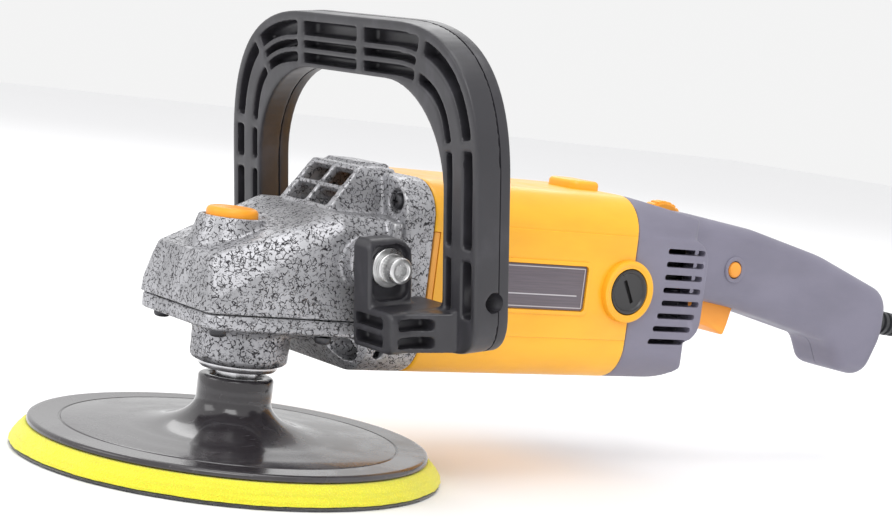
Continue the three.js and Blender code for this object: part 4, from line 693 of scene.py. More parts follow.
@dataclass(frozen=True)
class LabelFilm(Finish):
    """Printed film: a satin field with a paler rule round it and a brushed pattern."""

    half_length: float = 0.03
    half_height: float = 0.00975
    centre_x: float = 0.115
    centre_z: float = 0.0855

    def paint(self, g: Graph) -> None:
        """Draws the border rule, a lighter lower strip and fine brushing, with no lettering."""
        x = g.math("ABSOLUTE", g.math("SUBTRACT", g.add("SeparateXYZ", {0: g.place}, 0), self.centre_x))
        level = g.math("SUBTRACT", g.add("SeparateXYZ", {0: g.place}, 2), self.centre_z)
        z = g.math("ABSOLUTE", level)
        inset = g.math(
            "MINIMUM", g.math("SUBTRACT", self.half_length, x), g.math("SUBTRACT", self.half_height, z),
        )
        rule = g.math("MULTIPLY", g.span(inset, 0.0008, 0.001), g.span(inset, 0.0014, 0.0012))
        brushed = g.noise(1600.0, 3.0, g.stretch(0.03, 1.0, 1.0))
        tone = g.mix(g.span(brushed, 0.35, 0.7), shade(self.colour, 0.88), shade(self.colour, 1.14))
        strip = g.math("MULTIPLY", g.span(level, -0.0030, -0.0031), g.span(level, -0.0036, -0.0035))
        strip = g.math("MULTIPLY", strip, g.span(x, 0.026, 0.0255))
        tone = g.mix(g.math("MAXIMUM", rule, strip), tone, (0.52, 0.5, 0.53))
        g.set(
            Base_Color=tone,
            Roughness=g.span(brushed, 0.3, 0.7, self.roughness - 0.05, self.roughness + 0.08),
        )
        g.set(Coat_Weight=0.25, Coat_Roughness=0.25, Normal=g.bump(g.noise(2600.0, 2.0), 0.00002, 0.3))


@dataclass(frozen=True)
class Laminated(Finish):
    """Stacked iron sheets or wound wire, with lines across an axis."""

    pitch: float = 0.0005
    along: Axis = Axis.X

    def paint(self, g: Graph) -> None:
        """Draws one line for each sheet or turn of wire."""
        place = g.add("SeparateXYZ", {0: g.warped(60.0, 0.00012)}, self.along.value)
        wave = g.math("SINE", g.math("MULTIPLY", place, 2 * math.pi / self.pitch))
        tone = g.mix(g.span(wave, -0.6, 0.9), shade(self.colour, 0.45), shade(self.colour, 1.15))
        tone = g.mix(g.span(g.noise(180.0, 4.0), 0.5, 0.75, 0.0, 0.4), tone, shade(self.colour, 0.4))
        g.set(Base_Color=tone, Roughness=self.roughness, Normal=g.bump(wave, 0.0001, 0.5))


class Finishes:
    """The polisher's finishes."""

    CAST = CracklePaint("crackle_silver", "cast_crackle", (0.42, 0.42, 0.44), 0.36, 0.55)
    YELLOW = Moulded("yellow_housing", "housing_yellow", (0.98, 0.46, 0.02), 0.36, relief=0.22, coat=0.12)
    GREY = Moulded("grey_housing", "rear_grey", (0.205, 0.195, 0.255), 0.5, grain=1900.0, relief=0.5)
    HANDLE = Moulded(
        "black_handle", "handle_black", (0.028, 0.027, 0.032), 0.4, relief=0.35, streak=0.25, coat=0.1,
    )
    PLATE = GlossyPlate("glossy_plate", "plate_black", (0.03, 0.026, 0.03), 0.2)
    ORANGE = Moulded("trigger_orange", "switch_orange", (0.98, 0.36, 0.04), 0.42, relief=0.3)
    LOCK = Moulded("lock_orange", "switch_orange", (0.98, 0.36, 0.012), 0.4, relief=0.3, coat=0.1)
    INNER = Moulded("inner_orange", "inner_orange", (1.0, 0.27, 0.004), 0.5, relief=0.3)
    STEEL = Metal("bright_steel", "steel", (0.66, 0.66, 0.68), 0.24, 1.0)
    ZINC = Metal("zinc_plate", "steel", (0.72, 0.72, 0.72), 0.3, 1.0, marks=600.0, turned_about=Axis.Y)
    SHAFT = Metal("ground_shaft", "steel", (0.6, 0.6, 0.62), 0.22, 1.0, turned_about=Axis.X)
    SCREW = Metal("black_screw", "screw_black", (0.07, 0.07, 0.075), 0.38, 0.9)
    IRON = Laminated("stacked_iron", "iron", (0.3, 0.3, 0.31), 0.4, 0.9)
    COPPER = Laminated("wound_copper", "copper", (0.72, 0.3, 0.14), 0.34, 0.9, pitch=0.0009)
    CARBON = Finish("pressed_carbon", "carbon", (0.02, 0.02, 0.022), 0.6, 0.2)
    INNER_BLACK = Moulded("inner_black", "inner_black", (0.02, 0.02, 0.022), 0.5, relief=0.5)
    FOAM = CutFoam("cut_foam", "foam_yellow", (0.9, 0.84, 0.04), 0.9)
    FELT = Felt("hook_loop", "hook_felt", (0.045, 0.045, 0.05), 1.0)
    LABEL = LabelFilm("label_film", "label", (0.115, 0.095, 0.115), 0.36)
    RUBBER = Rubber("cord_rubber", "rubber", (0.03, 0.031, 0.034), 0.52)
    CAP = Moulded("cap_black", "inner_black", (0.022, 0.021, 0.022), 0.32, relief=0.3, coat=0.2)


CARRIED_OVER = {
    "iron": Finishes.IRON,
    "copper": Finishes.COPPER,
    "steel": Finishes.SHAFT,
    "carbon": Finishes.CARBON,
    "inner_black": Finishes.INNER_BLACK,
    "inner_orange": Finishes.INNER,
    "screw_black": Finishes.SCREW,
    "cast_crackle": Finishes.CAST,
    "housing_yellow": Finishes.YELLOW,
    "rear_grey": Finishes.GREY,
    "handle_black": Finishes.HANDLE,
    "plate_black": Finishes.PLATE,
    "switch_orange": Finishes.ORANGE,
    "foam_yellow": Finishes.FOAM,
    "hook_felt": Finishes.FELT,
    "label": Finishes.LABEL,
    "rubber": Finishes.RUBBER,
}


# ---- Geometry Nodes -----------------------------------------------------------------------------


class GeometryTree:
    """Builds a Geometry Nodes tree with named inputs, and runs it on a host object."""

    def __init__(self, name: str) -> None:
        """Starts a tree with one geometry input and one geometry output."""
        self.tree = bpy.data.node_groups.new(name, "GeometryNodeTree")
        self.tree.interface.new_socket("Geometry", in_out="INPUT", socket_type="NodeSocketGeometry")
        self.tree.interface.new_socket("Geometry", in_out="OUTPUT", socket_type="NodeSocketGeometry")
        self.entry = self.tree.nodes.new("NodeGroupInput")
        self.exit = self.tree.nodes.new("NodeGroupOutput")
        self.keys: dict[str, str] = {}

    def size(self, name: str, kind: str = "Float") -> str:
        """Adds a named input and returns its name."""
        item = self.tree.interface.new_socket(name, in_out="INPUT", socket_type="NodeSocket" + kind)
        self.keys[name] = item.identifier
        return name

    def given(self, name: str) -> Socket:
        """The socket of a named input inside the tree."""
        return self.entry.outputs[name]

    def add(self, kind: str, inputs: dict, out: str | int = 0, **settings: object) -> Socket:
        """Adds a node, feeds its inputs and returns one output."""
        node = self.tree.nodes.new(kind)
        for key, value in settings.items():
            setattr(node, key, value)
        for key, value in inputs.items():
            if isinstance(value, bpy.types.NodeSocket):
                self.tree.links.new(value, node.inputs[key])
            else:
                node.inputs[key].default_value = value
        return node.outputs[out]

    def finish(self, geometry: Socket) -> None:
        """Realizes the instances, sets the material and ends the tree."""
        whole = self.add("GeometryNodeRealizeInstances", {"Geometry": geometry})
        shown = self.add("GeometryNodeSetMaterial", {"Geometry": whole, "Material": self.given("Material")})
        self.tree.links.new(shown, self.exit.inputs[0])

    def grow(self, name: str, host: Thing, values: dict, extra: Sequence[Thing] = ()) -> Thing:
        """Runs the tree on a host and keeps the result as a plain mesh.

        Args:
            name: The new object's name.
            host: The object that the tree reads, which is removed.
            values: A value for each named input.
            extra: Source objects to remove afterwards.

        Returns:
            A new object with a plain mesh.
        """
        modifier = host.modifiers.new("grow", "NODES")
        modifier.node_group = self.tree
        for key, value in values.items():
            modifier[self.keys[key]] = value
        graph = bpy.context.evaluated_depsgraph_get()
        mesh = bpy.data.meshes.new_from_object(host.evaluated_get(graph))
        mesh.name = name
        made = bpy.data.objects.new(name, mesh)
        bpy.context.scene.collection.objects.link(made)
        for old in (host, *extra):
            bpy.data.objects.remove(old)
        return made


def fastener_tree() -> GeometryTree:
    """A tree that stands a fastener on each point of its host, each turned about its axis by chance."""
    tree = GeometryTree("fastener_row")
    tree.size("Fastener", "Object")
    tree.size("Tilt", "Vector")
    tree.size("Seed", "Int")
    tree.size("Material", "Material")
    source = tree.add("GeometryNodeObjectInfo", {"Object": tree.given("Fastener")}, "Geometry")
    spin = tree.add(
        "FunctionNodeRandomValue", {
            "Min": 0.0, "Max": math.pi, "Seed": tree.given("Seed"),
        }, "Value", data_type="FLOAT"
    )
    turn = tree.add("ShaderNodeCombineXYZ", {"Z": spin})
    points = tree.add("GeometryNodeMeshToPoints", {"Mesh": tree.given("Geometry")})
    inputs = {"Points": points, "Instance": source, "Rotation": tree.given("Tilt")}
    placed = tree.add("GeometryNodeInstanceOnPoints", inputs)
    turned_heads = tree.add("GeometryNodeRotateInstances", {"Instances": placed, "Rotation": turn})
    tree.finish(turned_heads)
    return tree


def wheel_tree() -> GeometryTree:
    """A tree that sets copies of its host round the Y axis at equal angles."""
    tree = GeometryTree("wheel_of_copies")
    tree.size("Count", "Int")
    tree.size("Material", "Material")
    dot = tree.add("GeometryNodePoints", {"Count": tree.given("Count")})
    index = tree.add("GeometryNodeInputIndex", {})
    share = tree.add("ShaderNodeMath", {0: index, 1: tree.given("Count")}, operation="DIVIDE")
    angle = tree.add("ShaderNodeMath", {0: share, 1: 2 * math.pi}, operation="MULTIPLY")
    turn = tree.add("ShaderNodeCombineXYZ", {"Y": angle})
    inputs = {"Points": dot, "Instance": tree.given("Geometry"), "Rotation": turn}
    tree.finish(tree.add("GeometryNodeInstanceOnPoints", inputs))
    return tree


def nap_tree() -> GeometryTree:
    """A tree that stands short bent hooks over its host's faces at chance places."""
    tree = GeometryTree("nap_of_hooks")
    tree.size("Hook", "Object")
    tree.size("Density")
    tree.size("Seed", "Int")
    tree.size("Material", "Material")
    inputs = {"Mesh": tree.given("Geometry"), "Density": tree.given("Density"), "Seed": tree.given("Seed")}
    node = tree.tree.nodes.new("GeometryNodeDistributePointsOnFaces")
    for key, value in inputs.items():
        tree.tree.links.new(value, node.inputs[key])
    source = tree.add("GeometryNodeObjectInfo", {"Object": tree.given("Hook")}, "Geometry")
    inputs = {"Points": node.outputs["Points"], "Instance": source, "Rotation": node.outputs["Rotation"]}
    placed = tree.add("GeometryNodeInstanceOnPoints", inputs)
    spin = tree.add(
        "FunctionNodeRandomValue", {"Min": 0.0, "Max": 6.28, "Seed": 5}, "Value", data_type="FLOAT",
    )
    turn = tree.add("ShaderNodeCombineXYZ", {"Z": spin})
    tree.finish(tree.add("GeometryNodeRotateInstances", {"Instances": placed, "Rotation": turn}))
    return tree


# ---- Studio and cord ----------------------------------------------------------------------------


@dataclass
class Studio:
    """The camera, the pale floor and the soft lamps."""

    azimuth: float = 35.77
    elevation: float = 5.27
    roll: float = 7.31
    lens: float = 84.63
    place: Point3 = (-439.7, -748.17, 174.32)
    floor_size: float = 8.0
    room_strength: float = 0.9
    floor_colour: Colour = (0.93, 0.93, 0.94)

    def build(self) -> None:
        """Makes the camera, the floor, the world and the lamps."""
        self.camera()
        self.floor()
        self.world()
        self.lamp("key_lamp", (-0.9, -1.3, 1.7), 1.1, 15.0)
        self.lamp("side_lamp", (-1.5, 0.5, 1.0), 0.9, 5.0)
        self.lamp("back_lamp", (0.9, 1.4, 1.4), 1.2, 8.0)
        self.lamp("top_lamp", (0.2, -0.1, 2.0), 1.2, 9.0)

    def camera(self) -> None:
        """Sets the camera at the chosen viewing angle."""
        az, el, roll = (math.radians(a) for a in (self.azimuth, self.elevation, self.roll))
        forward = Vector((math.sin(az) * math.cos(el), math.cos(az) * math.cos(el), -math.sin(el)))
        level = Vector((math.cos(az), -math.sin(az), 0.0))
        upright = level.cross(forward)
        right = math.cos(roll) * level + math.sin(roll) * upright
        up = -math.sin(roll) * level + math.cos(roll) * upright
        data = bpy.data.cameras.new("camera")
        data.lens = self.lens
        data.sensor_width = 36.0
        data.clip_start = 0.01
        made = bpy.data.objects.new("camera", data)
        made.matrix_world = Matrix((
            (right.x, up.x, -forward.x, self.place[0] * MM),
            (right.y, up.y, -forward.y, self.place[1] * MM),
            (right.z, up.z, -forward.z, self.place[2] * MM),
            (0.0, 0.0, 0.0, 1.0),
        ))
        bpy.context.scene.collection.objects.link(made)
        bpy.context.scene.camera = made

    def floor(self) -> None:
        """Lays the plain pale floor."""
        s = self.floor_size / 2 / MM
        made = thing("floor", [(-s, -s, 0), (s, -s, 0), (s, s, 0), (-s, s, 0)], [(0, 1, 2, 3)])
        graph = Graph("floor_paper")
        graph.set(Base_Color=self.floor_colour, Roughness=graph.span(graph.noise(3.0), 0.3, 0.7, 0.8, 0.9))
        made.data.materials.append(graph.made)

    def world(self) -> None:
        """Fills the room with soft white light."""
        world = bpy.data.worlds.new("room")
        world.use_nodes = True
        back = world.node_tree.nodes["Background"]
        back.inputs["Color"].default_value = (1.0, 1.0, 1.0, 1.0)
        back.inputs["Strength"].default_value = self.room_strength
        bpy.context.scene.world = world
        bpy.context.scene.view_settings.view_transform = "Standard"

    def lamp(self, name: str, place: Point3, size: float, power: float) -> None:
        """Hangs one square soft lamp that looks at the middle of the tool."""
        data = bpy.data.lights.new(name, "AREA")
        data.size = size
        data.energy = power
        made = bpy.data.objects.new(name, data)
        made.location = place
        aim = Vector((0.15, 0.0, 0.08)) - Vector(place)
        made.rotation_euler = aim.to_track_quat("-Z", "Y").to_euler()
        bpy.context.scene.collection.objects.link(made)


@dataclass
class Cord:
    """The mains cord with its strain relief, coil, tie and plug."""

    diameter: float = 8.0
    exit: Point3 = (366.3, 0.0, 72.5)
    droop: float = 6.0
    coil_centre: Point3 = (556.0, -66.0, 0.0)
    turns: float = 6.378
    points_per_turn: int = 20
    coil_start: float = 46.0

    def winding(self, turn: float) -> tuple[float, float]:
        """The radius and height of the coiled cord after a number of turns.

        Args:
            turn: Turns wound since the cord reached the coil.

        Returns:
            The distance from the coil's axis and the height above the floor, in millimetres.
        """
        places = (
            (0.0, 61.5, 4.05), (0.2, 53.5, 4.05), (2.24, 37.0, 4.05), (2.54, 37.0, 12.1),
            (4.515, 53.0, 12.1), (4.815, 53.0, 20.1), (5.9, 44.2, 20.1), (6.12, 48.0, 28.2),
            (6.25, 51.0, 28.2), (6.378, 53.0, 27.5),
        )
        turns, radii, heights = zip(*places)
        return float(np.interp(turn, turns, radii)), float(np.interp(turn, turns, heights))

    def route(self) -> list[Point3]:
        """The cord's centreline from the strain relief's tip, through its coil, to the plug."""
        points = [
            (418.3, 0, 67.0), (428, 0, 65.9), (440, 0, 63.8), (452, 0, 59.6), (464, 0, 52.4),
            (475, 0.2, 42.6), (486, 0.6, 31.4), (497, 1.2, 21.2), (509, 1.6, 12.6), (521, 1.2, 7.0),
            (534, 0.4, 4.4), (546, -1.6, 4.05), (556, -4.0, 4.05), (571, -6.0, 4.05), (586, -11.8, 4.05),
        ]
        cx, cy, _ = self.coil_centre
        count = round(self.turns * self.points_per_turn)
        for i in range(count + 1):
            turn = self.turns * i / count
            radius, height = self.winding(turn)
            angle = math.radians(self.coil_start - 360.0 * turn)
            points.append((cx + radius * math.cos(angle), cy + radius * math.sin(angle), height))
        return points + [(546, -119, 25.8), (536, -119, 22.2), (528, -119, 19.0), (520, -119, 17.8)]

    def build(self) -> None:
        """Makes the cord, its strain relief and its plug."""
        self.relief()
        plug = self.plug()
        data = bpy.data.curves.new("cord", "CURVE")
        data.dimensions = "3D"
        data.bevel_depth = self.diameter / 2 * MM
        data.bevel_resolution = 5
        data.resolution_u = 4
        data.use_fill_caps = True
        points = self.route()
        spline = data.splines.new("BEZIER")
        spline.bezier_points.add(len(points) - 1)
        for point, place in zip(spline.bezier_points, points):
            point.co = tuple(c * MM for c in place)
            point.handle_left_type = point.handle_right_type = "AUTO"
        cord = bpy.data.objects.new("cord", data)
        bpy.context.scene.collection.objects.link(cord)
        dress(cord, Finishes.RUBBER, "root", ["cord_tube", "cord_coil"])

    def relief(self) -> None:
        """Makes the tapered strain relief with its moulded ribs."""
        profile = [(0, -11), (6.6, -11), (6.6, 1.5), (6.2, 3.2), (6.5, 3.6), (6.5, 5.2)]
        count = 9
        for i in range(count):
            base = 8.0 + i * 4.4
            radius = 6.3 - 0.14 * i
            profile += [
                (radius - 1.3, base - 1.2), (radius - 1.3, base), (radius, base + 0.25),
                (radius, base + 2.4),
            ]
        profile += [(4.9, 48.2), (5.0, 51.4), (4.6, 52), (0, 52)]
        relief = turned("strain_relief_sleeve", profile, Axis.X, segments=64)
        turn = Matrix.Rotation(math.radians(self.droop), 4, "Y")
        turn.translation = Vector(self.exit)
        transformed(relief, turn)
        dress(relief, Finishes.RUBBER, "root", ["strain_relief"])

    def plug(self) -> Thing:
        """Makes the moulded two-pin plug that lies beside the coil."""
        cx, cy, _ = self.coil_centre
        place = (cx, cy - 53.0, 17.8)
        profile = [(0, -34), (4.6, -34), (5, -35)]
        for i in range(4):
            base = 37.0 + 4.6 * i
            radius = 5.2 + 0.3 * i
            profile += [
                (radius, -base), (radius, -base - 2.6), (radius - 0.9, -base - 2.9),
                (radius - 0.9, -base - 4.3),
            ]
        profile += [
            (6.5, -57), (9.5, -57.6), (12, -59), (14.2, -61.5), (15.8, -65), (16.6, -68), (17.4, -70),
            (17.5, -71),
        ]
        profile += [
            (17.5, -74), (16.9, -74.6), (16.9, -76.4), (17.5, -77), (17.5, -86), (17, -87.4), (16, -88),
            (0, -88),
        ]
        body = turned("plug_body", profile, Axis.X, place, 72)
        dress(body, Finishes.RUBBER, "root", ["plug"])
        pins = []
        for side in (-1, 1):
            pin = [
                (0, -87), (1.9, -87), (1.9, -97.5), (2.4, -98), (2.4, -104.4), (1.9, -106), (1, -106.9),
                (0, -107),
            ]
            pins.append(turned("pin", pin, Axis.X, (place[0], place[1] + 9.5 * side, place[2]), 32))
        dress(join("plug_pins", pins), Finishes.SHAFT, "root")
        return body


# ---- Pad and spindle ----------------------------------------------------------------------------


@dataclass
class Pad:
    """The backing plate with its hub, the foam and the hook layer."""

    plate_radius: float = 83.6
    groove_radius: float = 70.4
    hub_radius: float = 15.7
    hub_top: float = 36.3
    foam_low: float = 1.5
    foam_high: float = 9.5

    def build(self) -> None:
        """Makes the three layers."""
        self.plate()
        self.foam()
        self.hooks()

    def plate(self) -> None:
        """Makes the plate: a rolled rim, a bead and groove, the flared hub and its bore."""
        r, low, g, h, top = self.plate_radius, 9.8, self.groove_radius, self.hub_radius, self.hub_top
        profile = [(7.3, low), (r - 0.6, low), (r, low + 0.5), (r, 11.2), (r - 0.3, 11.9), (r - 0.9, 12.3)]
        profile += [(r - 1.8, 12.45), (r - 3.2, 12.3), (g + 1.1, 12.5), (g + 0.6, 12.45), (g + 0.35, 12.0)]
        profile += [
            (g, 11.85), (g - 0.35, 12.0), (g - 0.6, 12.5), (g - 1.2, 12.62), (57.0, 12.9), (50.0, 13.2),
        ]
        steps = 22
        for i in range(steps + 1):
            angle = math.pi / 2 * i / steps
            radius = 46.0 - (46.0 - h) * math.sin(angle)
            profile.append((radius, 27.3 - 13.8 * math.cos(angle) ** 0.9))
        profile += [
            (h + 0.1, 29.0), (h + 0.1, 35.2), (h - 0.3, 35.9), (h - 1.0, top), (12.2, top), (11.4, 36.0),
        ]
        profile += [(11.0, 35.5), (11.0, 31.3), (7.3, 31.3)]
        dress(
            turned("backing_plate_body", profile, segments=192), Finishes.PLATE, "pad_spindle",
            ["backing_plate"], 50,
        )

    def foam(self) -> None:
        """Makes the foam ring, with an edge that a knife has left slightly wavy."""
        low, high = self.foam_low, self.foam_high
        profile = [(11, low), (60, low), (85, low), (88.4, low), (89.5, low + 0.3)]
        rows = 12
        for i in range(rows + 1):
            share = i / rows
            profile.append((90.0 - 5.2 * share**1.7, low + 0.5 + (high - low - 0.9) * share))
        profile += [(84.2, high - 0.1), (83.4, high), (60, high), (11, high)]
        foam = turned("foam_ring", profile, segments=300)

        def ragged(points: np.ndarray) -> np.ndarray:
            """Waves the rim in and out along the cut."""
            radius = np.hypot(points[:, 0], points[:, 1])
            angle = np.arctan2(points[:, 1], points[:, 0])
            rim = np.clip((radius - 83.0) / 3.0, 0.0, 1.0)
            height = points[:, 2]
            wave = 0.22 * np.sin(9 * angle + 0.7) + 0.16 * np.sin(23 * angle + 1.9) + 0.1 * np.sin(
                61 * angle + height
            )
            wave += 0.09 * np.sin(113 * angle - 2.1 * height) + 0.1 * np.sin(2.9 * height + 5 * angle)
            change = 1.0 + rim * (wave - 0.3) / radius
            points[:, 0] *= change
            points[:, 1] *= change
            return points

        reshape(foam, ragged)
        dress(foam, Finishes.FOAM, "pad_spindle", ["foam_pad"], 60)

    def hooks(self) -> None:
        """Makes the hook layer: a thin backing with a nap of hooks over its lower face and rim."""
        profile = [(0, 0.55), (89.0, 0.5), (89.5, 0.7), (89.5, 1.2), (89.2, 1.35), (0, 1.35)]
        backing = turned("hook_backing", profile, segments=180)
        dress(backing, Finishes.FELT, "pad_spindle", ["hook_layer"])
        rim = turned("rim", [(80.0, 0.56), (89.5, 0.5), (89.6, 1.1), (80.0, 1.12)], segments=120)
        wire = 0.09
        hook = loft("hook", [
            [(wire * math.cos(a) + x, wire * math.sin(a), z) for a in (0.0, 2.1, 4.2)]
            for x, z in ((0.0, -0.1), (0.0, 0.25), (0.16, 0.36))
        ])
        tree = nap_tree()
        values = {"Hook": hook, "Density": 2.2e5, "Seed": 11, "Material": Finishes.FELT.material()}
        nap = tree.grow("hook_nap", rim, values, [hook])
        dress(nap, Finishes.FELT, "pad_spindle")


@dataclass
class Spindle:
    """The driven spindle: its flats, chrome collar and thread."""

    def build(self) -> None:
        """Makes the spindle with chamfers, and an undercut above the flats."""
        profile = [(0, 11.8), (6.0, 11.8), (7.0, 12.8)]
        profile += [(7.0 if i % 2 else 6.3, 13.2 + 0.9 * i) for i in range(19)]
        profile += [
            (7.0, 31.6), (8.4, 31.6), (8.8, 32.0), (8.8, 38.4), (8.2, 38.7), (8.2, 39.0), (13.9, 39.0),
        ]
        profile += [
            (15.4, 39.3), (16.3, 40.1), (16.6, 40.9), (16.6, 41.6), (16.2, 42.0), (6, 42.0), (6, 55.1),
            (8, 55.1),
        ]
        profile += [(8, 62.0), (6, 62.0), (6, 70.6), (4, 70.6), (4, 81.3), (0, 81.3)]
        body = turned("spindle_body", profile, segments=96)
        for side in (-1, 1):
            low, high = sorted((7.5 * side, 20 * side))
            carve(body, Cut.REMOVE, block("flat", (-20, low, 31.9), (20, high, 38.65)))
        dress(body, Finishes.STEEL, "pad_spindle", ["spindle"], 30)


# ---- Gear head ----------------------------------------------------------------------------------


def bored(axis: Axis, radius: float, low: float, high: float, centre: Point3 = (0, 0, 0)) -> Thing:
    """A plain round tool, for a bore or a boss."""
    return turned("bore", [(0, low), (radius, low), (radius, high), (0, high)], axis, centre, 64)


@dataclass
class GearHead:
    """The cast gear housing with its air collar, and the cover below it."""

    motor_height: float = 85.5
    split_x: float = 61.5
    cover_low: float = 59.3
    cover_high: float = 65.8
    lock_x: float = -11.0
    voxel: float = 0.8
    screw_places: tuple[Point2, ...] = ((-25, -24), (-25, 24), (18, -34.5), (18, 34.5))

    def build(self) -> None:
        """Makes both castings and their screws."""
        self.housing()
        self.cover()
        self.screws()

    def level(self, nose: float, back: float, front: float, rear: float, radius: float = 7.0) -> list[Point2]:
        """The level outline of the head at one height."""
        return fillet([(front, -nose, radius), (rear, -back), (rear, back), (front, nose, radius)])

    def shell(self) -> Thing:
        """The head's wedge: a low nose that rises and widens to the collar."""
        levels = [
            (self.level(31.5, 40.0, -34.0, 48.0, 5.0), 66.1),
            (self.level(31.0, 40.0, -33.8, 48.0, 5.0), 72.0),
            (self.level(26.6, 27.1, -32.7, -14.0, 3.5), 82.4),
            (self.level(23.8, 24.4, -31.6, -14.0, 3.0), 88.3),
            ([(20, -38.6), (48, -39.0), (48, 39.0), (20, 38.6)], 103.6),
            ([(20, -35.4), (48, -36.0), (48, 36.0), (20, 35.4)], 108.4),
            ([(20, -31.5), (48, -32.0), (48, 32.0), (20, 31.5)], 109.6),
        ]
        return hull("head", [(x, y, z) for outline, z in levels for x, y in outline])

    def collar(self) -> Thing:
        """The flange, the body below it, and the duct whose sloped face carries the air windows."""
        flange, lower = [], []
        for y, z in rounded_rectangle(42.0, 41.3, 17.0):
            flange += [(x, y, self.motor_height + z) for x in (47.0, self.split_x)]
            if z < 20:
                lower += [(x, y, self.motor_height + z) for x in (36.0, 50.0)]
        duct = []
        for side in (-1, 1):
            lower += [
                (22.0, side * 27, 57.2), (32.0, side * 37, 85.5), (24.0, side * 30, 106.0),
                (48.0, side * 40, 106.0),
            ]
            duct += [
                (22.5, side * 20, 110.6), (22.5, side * 21, 104.0), (36.0, side * 18.8, 128.6),
                (53.8, side * 18.5, 128.8), (55.0, side * 25, 106.0),
            ]
        return carve(hull("flange", flange), Cut.ADD, hull("lower", lower), hull("duct", duct))

    def housing(self) -> None:
        """Makes the gear housing: outer form, bosses, ribs, windows and the rooms for the gears."""
        body = self.shell()
        profile = [(0, 80), (18.5, 80), (17.6, 90.0), (14.8, 98.4), (13.6, 102.6), (0, 102.6)]
        lock_boss = turned("lock_boss", profile, Axis.Z, (self.lock_x, 0, 0))
        plate = hull("top_plate", [
            *((x, y, 126.5) for x in (37.0, 55.0) for y in (-16.0, 16.0)),
            *((x, y, 130.3) for x in (40.0, 53.0) for y in (-13.5, 13.5)),
        ])
        carve(body, Cut.ADD, self.collar(), lock_boss, plate)
        for side in (-1, 1):
            low, high = sorted((side * 30.0, side * 45.5))
            boss = bored(Axis.Y, 11.0, low, high, (31.3, 0, 91.4))
            section = ((30, 60), (42.2, 62), (42.6, 108), (30, 110))
            rib = hull("rib", [(x, side * y, z) for x in (41.0, 45.0) for y, z in section])
            carve(body, Cut.ADD, boss, rib)
        carve(body, Cut.REMOVE, *self.windows(), *self.grooves(), *self.wells())
        carve(body, Cut.REMOVE, cast(join("rooms", self.rooms()), 1.0, 0))
        cast(body, 0.7, 1, 0.5)
        dress(body, Finishes.CAST, "root", ["gear_housing"], 50)

    def windows(self) -> list[Thing]:
        """The four air windows in the sloped face, two across and two up."""
        tools = []
        outline = rounded_rectangle(7.7, 4.3, 1.0, 4)
        slope = Matrix.Rotation(math.radians(37.0), 4, "Y")
        for side in (-1, 1):
            for row in (0, 1):
                tool = prism("window", outline, Axis.X, -9, 14)
                place = slope.copy()
                place.translation = Vector((25.8 + 6.4 * row, side * 8.8, 115.0 + 8.5 * row))
                tools.append(transformed(tool, place))
        return tools

    def rooms(self) -> list[Thing]:
        """The rooms for gears, bearings and air."""
        height = self.motor_height
        room = prism("gear_room", self.level(25, 30, -28.5, 44.0), Axis.Z, 58.9, 73.3)
        cover = prism("cover_room", self.level(32.4, 41.6, -33.6, 43.4), Axis.Z, 58.9, 66.1)
        tools = [
            room, cover,
            bored(Axis.Z, 22.4, 57.1, 82.6, (30.15, 0, 0)),
            bored(Axis.Z, 9.5, 70.2, 88.3, (30.15, 0, 0)),
            bored(Axis.Z, 8.47, 56.3, 81.6),
            bored(Axis.Z, 2.8, 58.1, 104.1, (self.lock_x, 0, 0)),
            bored(Axis.Z, 11.3, 93.0, 105.5, (self.lock_x, 0, 0)),
            block("pinion_room", (29.7, -12, 56.9), (49.1, 12, height - 0.7)),
            bored(Axis.X, 9.9, 40.6, 49.4, (0, 0, height)),
            bored(Axis.X, 5.8, 48.3, 62.8, (0, 0, height)),
            bored(Axis.X, 13.07, 51.2, 62.3, (0, 0, height)),
            hull("duct", [
                (x, y, z) for y in (-17, 17) for x, z in (
                    (28.2, 112.0), (37.6, 124.6), (62.9, 112.0), (62.9, 124.6),
                )
            ]),
        ]
        return tools

    def wells(self) -> list[Thing]:
        """The wells and holes for the flange screws and the handle's bolts."""
        tools = []
        for y in (-32, 32):
            for z in (-31, 31):
                tools.append(bored(Axis.X, 5.2, 20, 50, (0, y, self.motor_height + z)))
                tools.append(bored(Axis.X, 2.3, 48.7, 62.7, (0, y, self.motor_height + z)))
        for side in (-1, 1):
            low, high = sorted((24.0 * side, 60.0 * side))
            tools.append(bored(Axis.Y, 3.7, low, high, (31.3, 0, 91.4)))
            low, high = sorted((34.0 * side, 60.0 * side))
            tools.append(block("square_hole", (40.5, low, 51.5), (44.5, high, 55.5)))
        return tools

    def grooves(self) -> list[Thing]:
        """The groove along the nose's top edge and the slot beside the lock button."""
        nose = block("nose_groove", (-27.2, -17.0, 86.6), (-26.2, 17.0, 92.0))
        notch = block("notch", (self.lock_x + 9.0, -1.8, 99.4), (self.lock_x + 15.6, 1.8, 104.0))
        return [nose, notch]

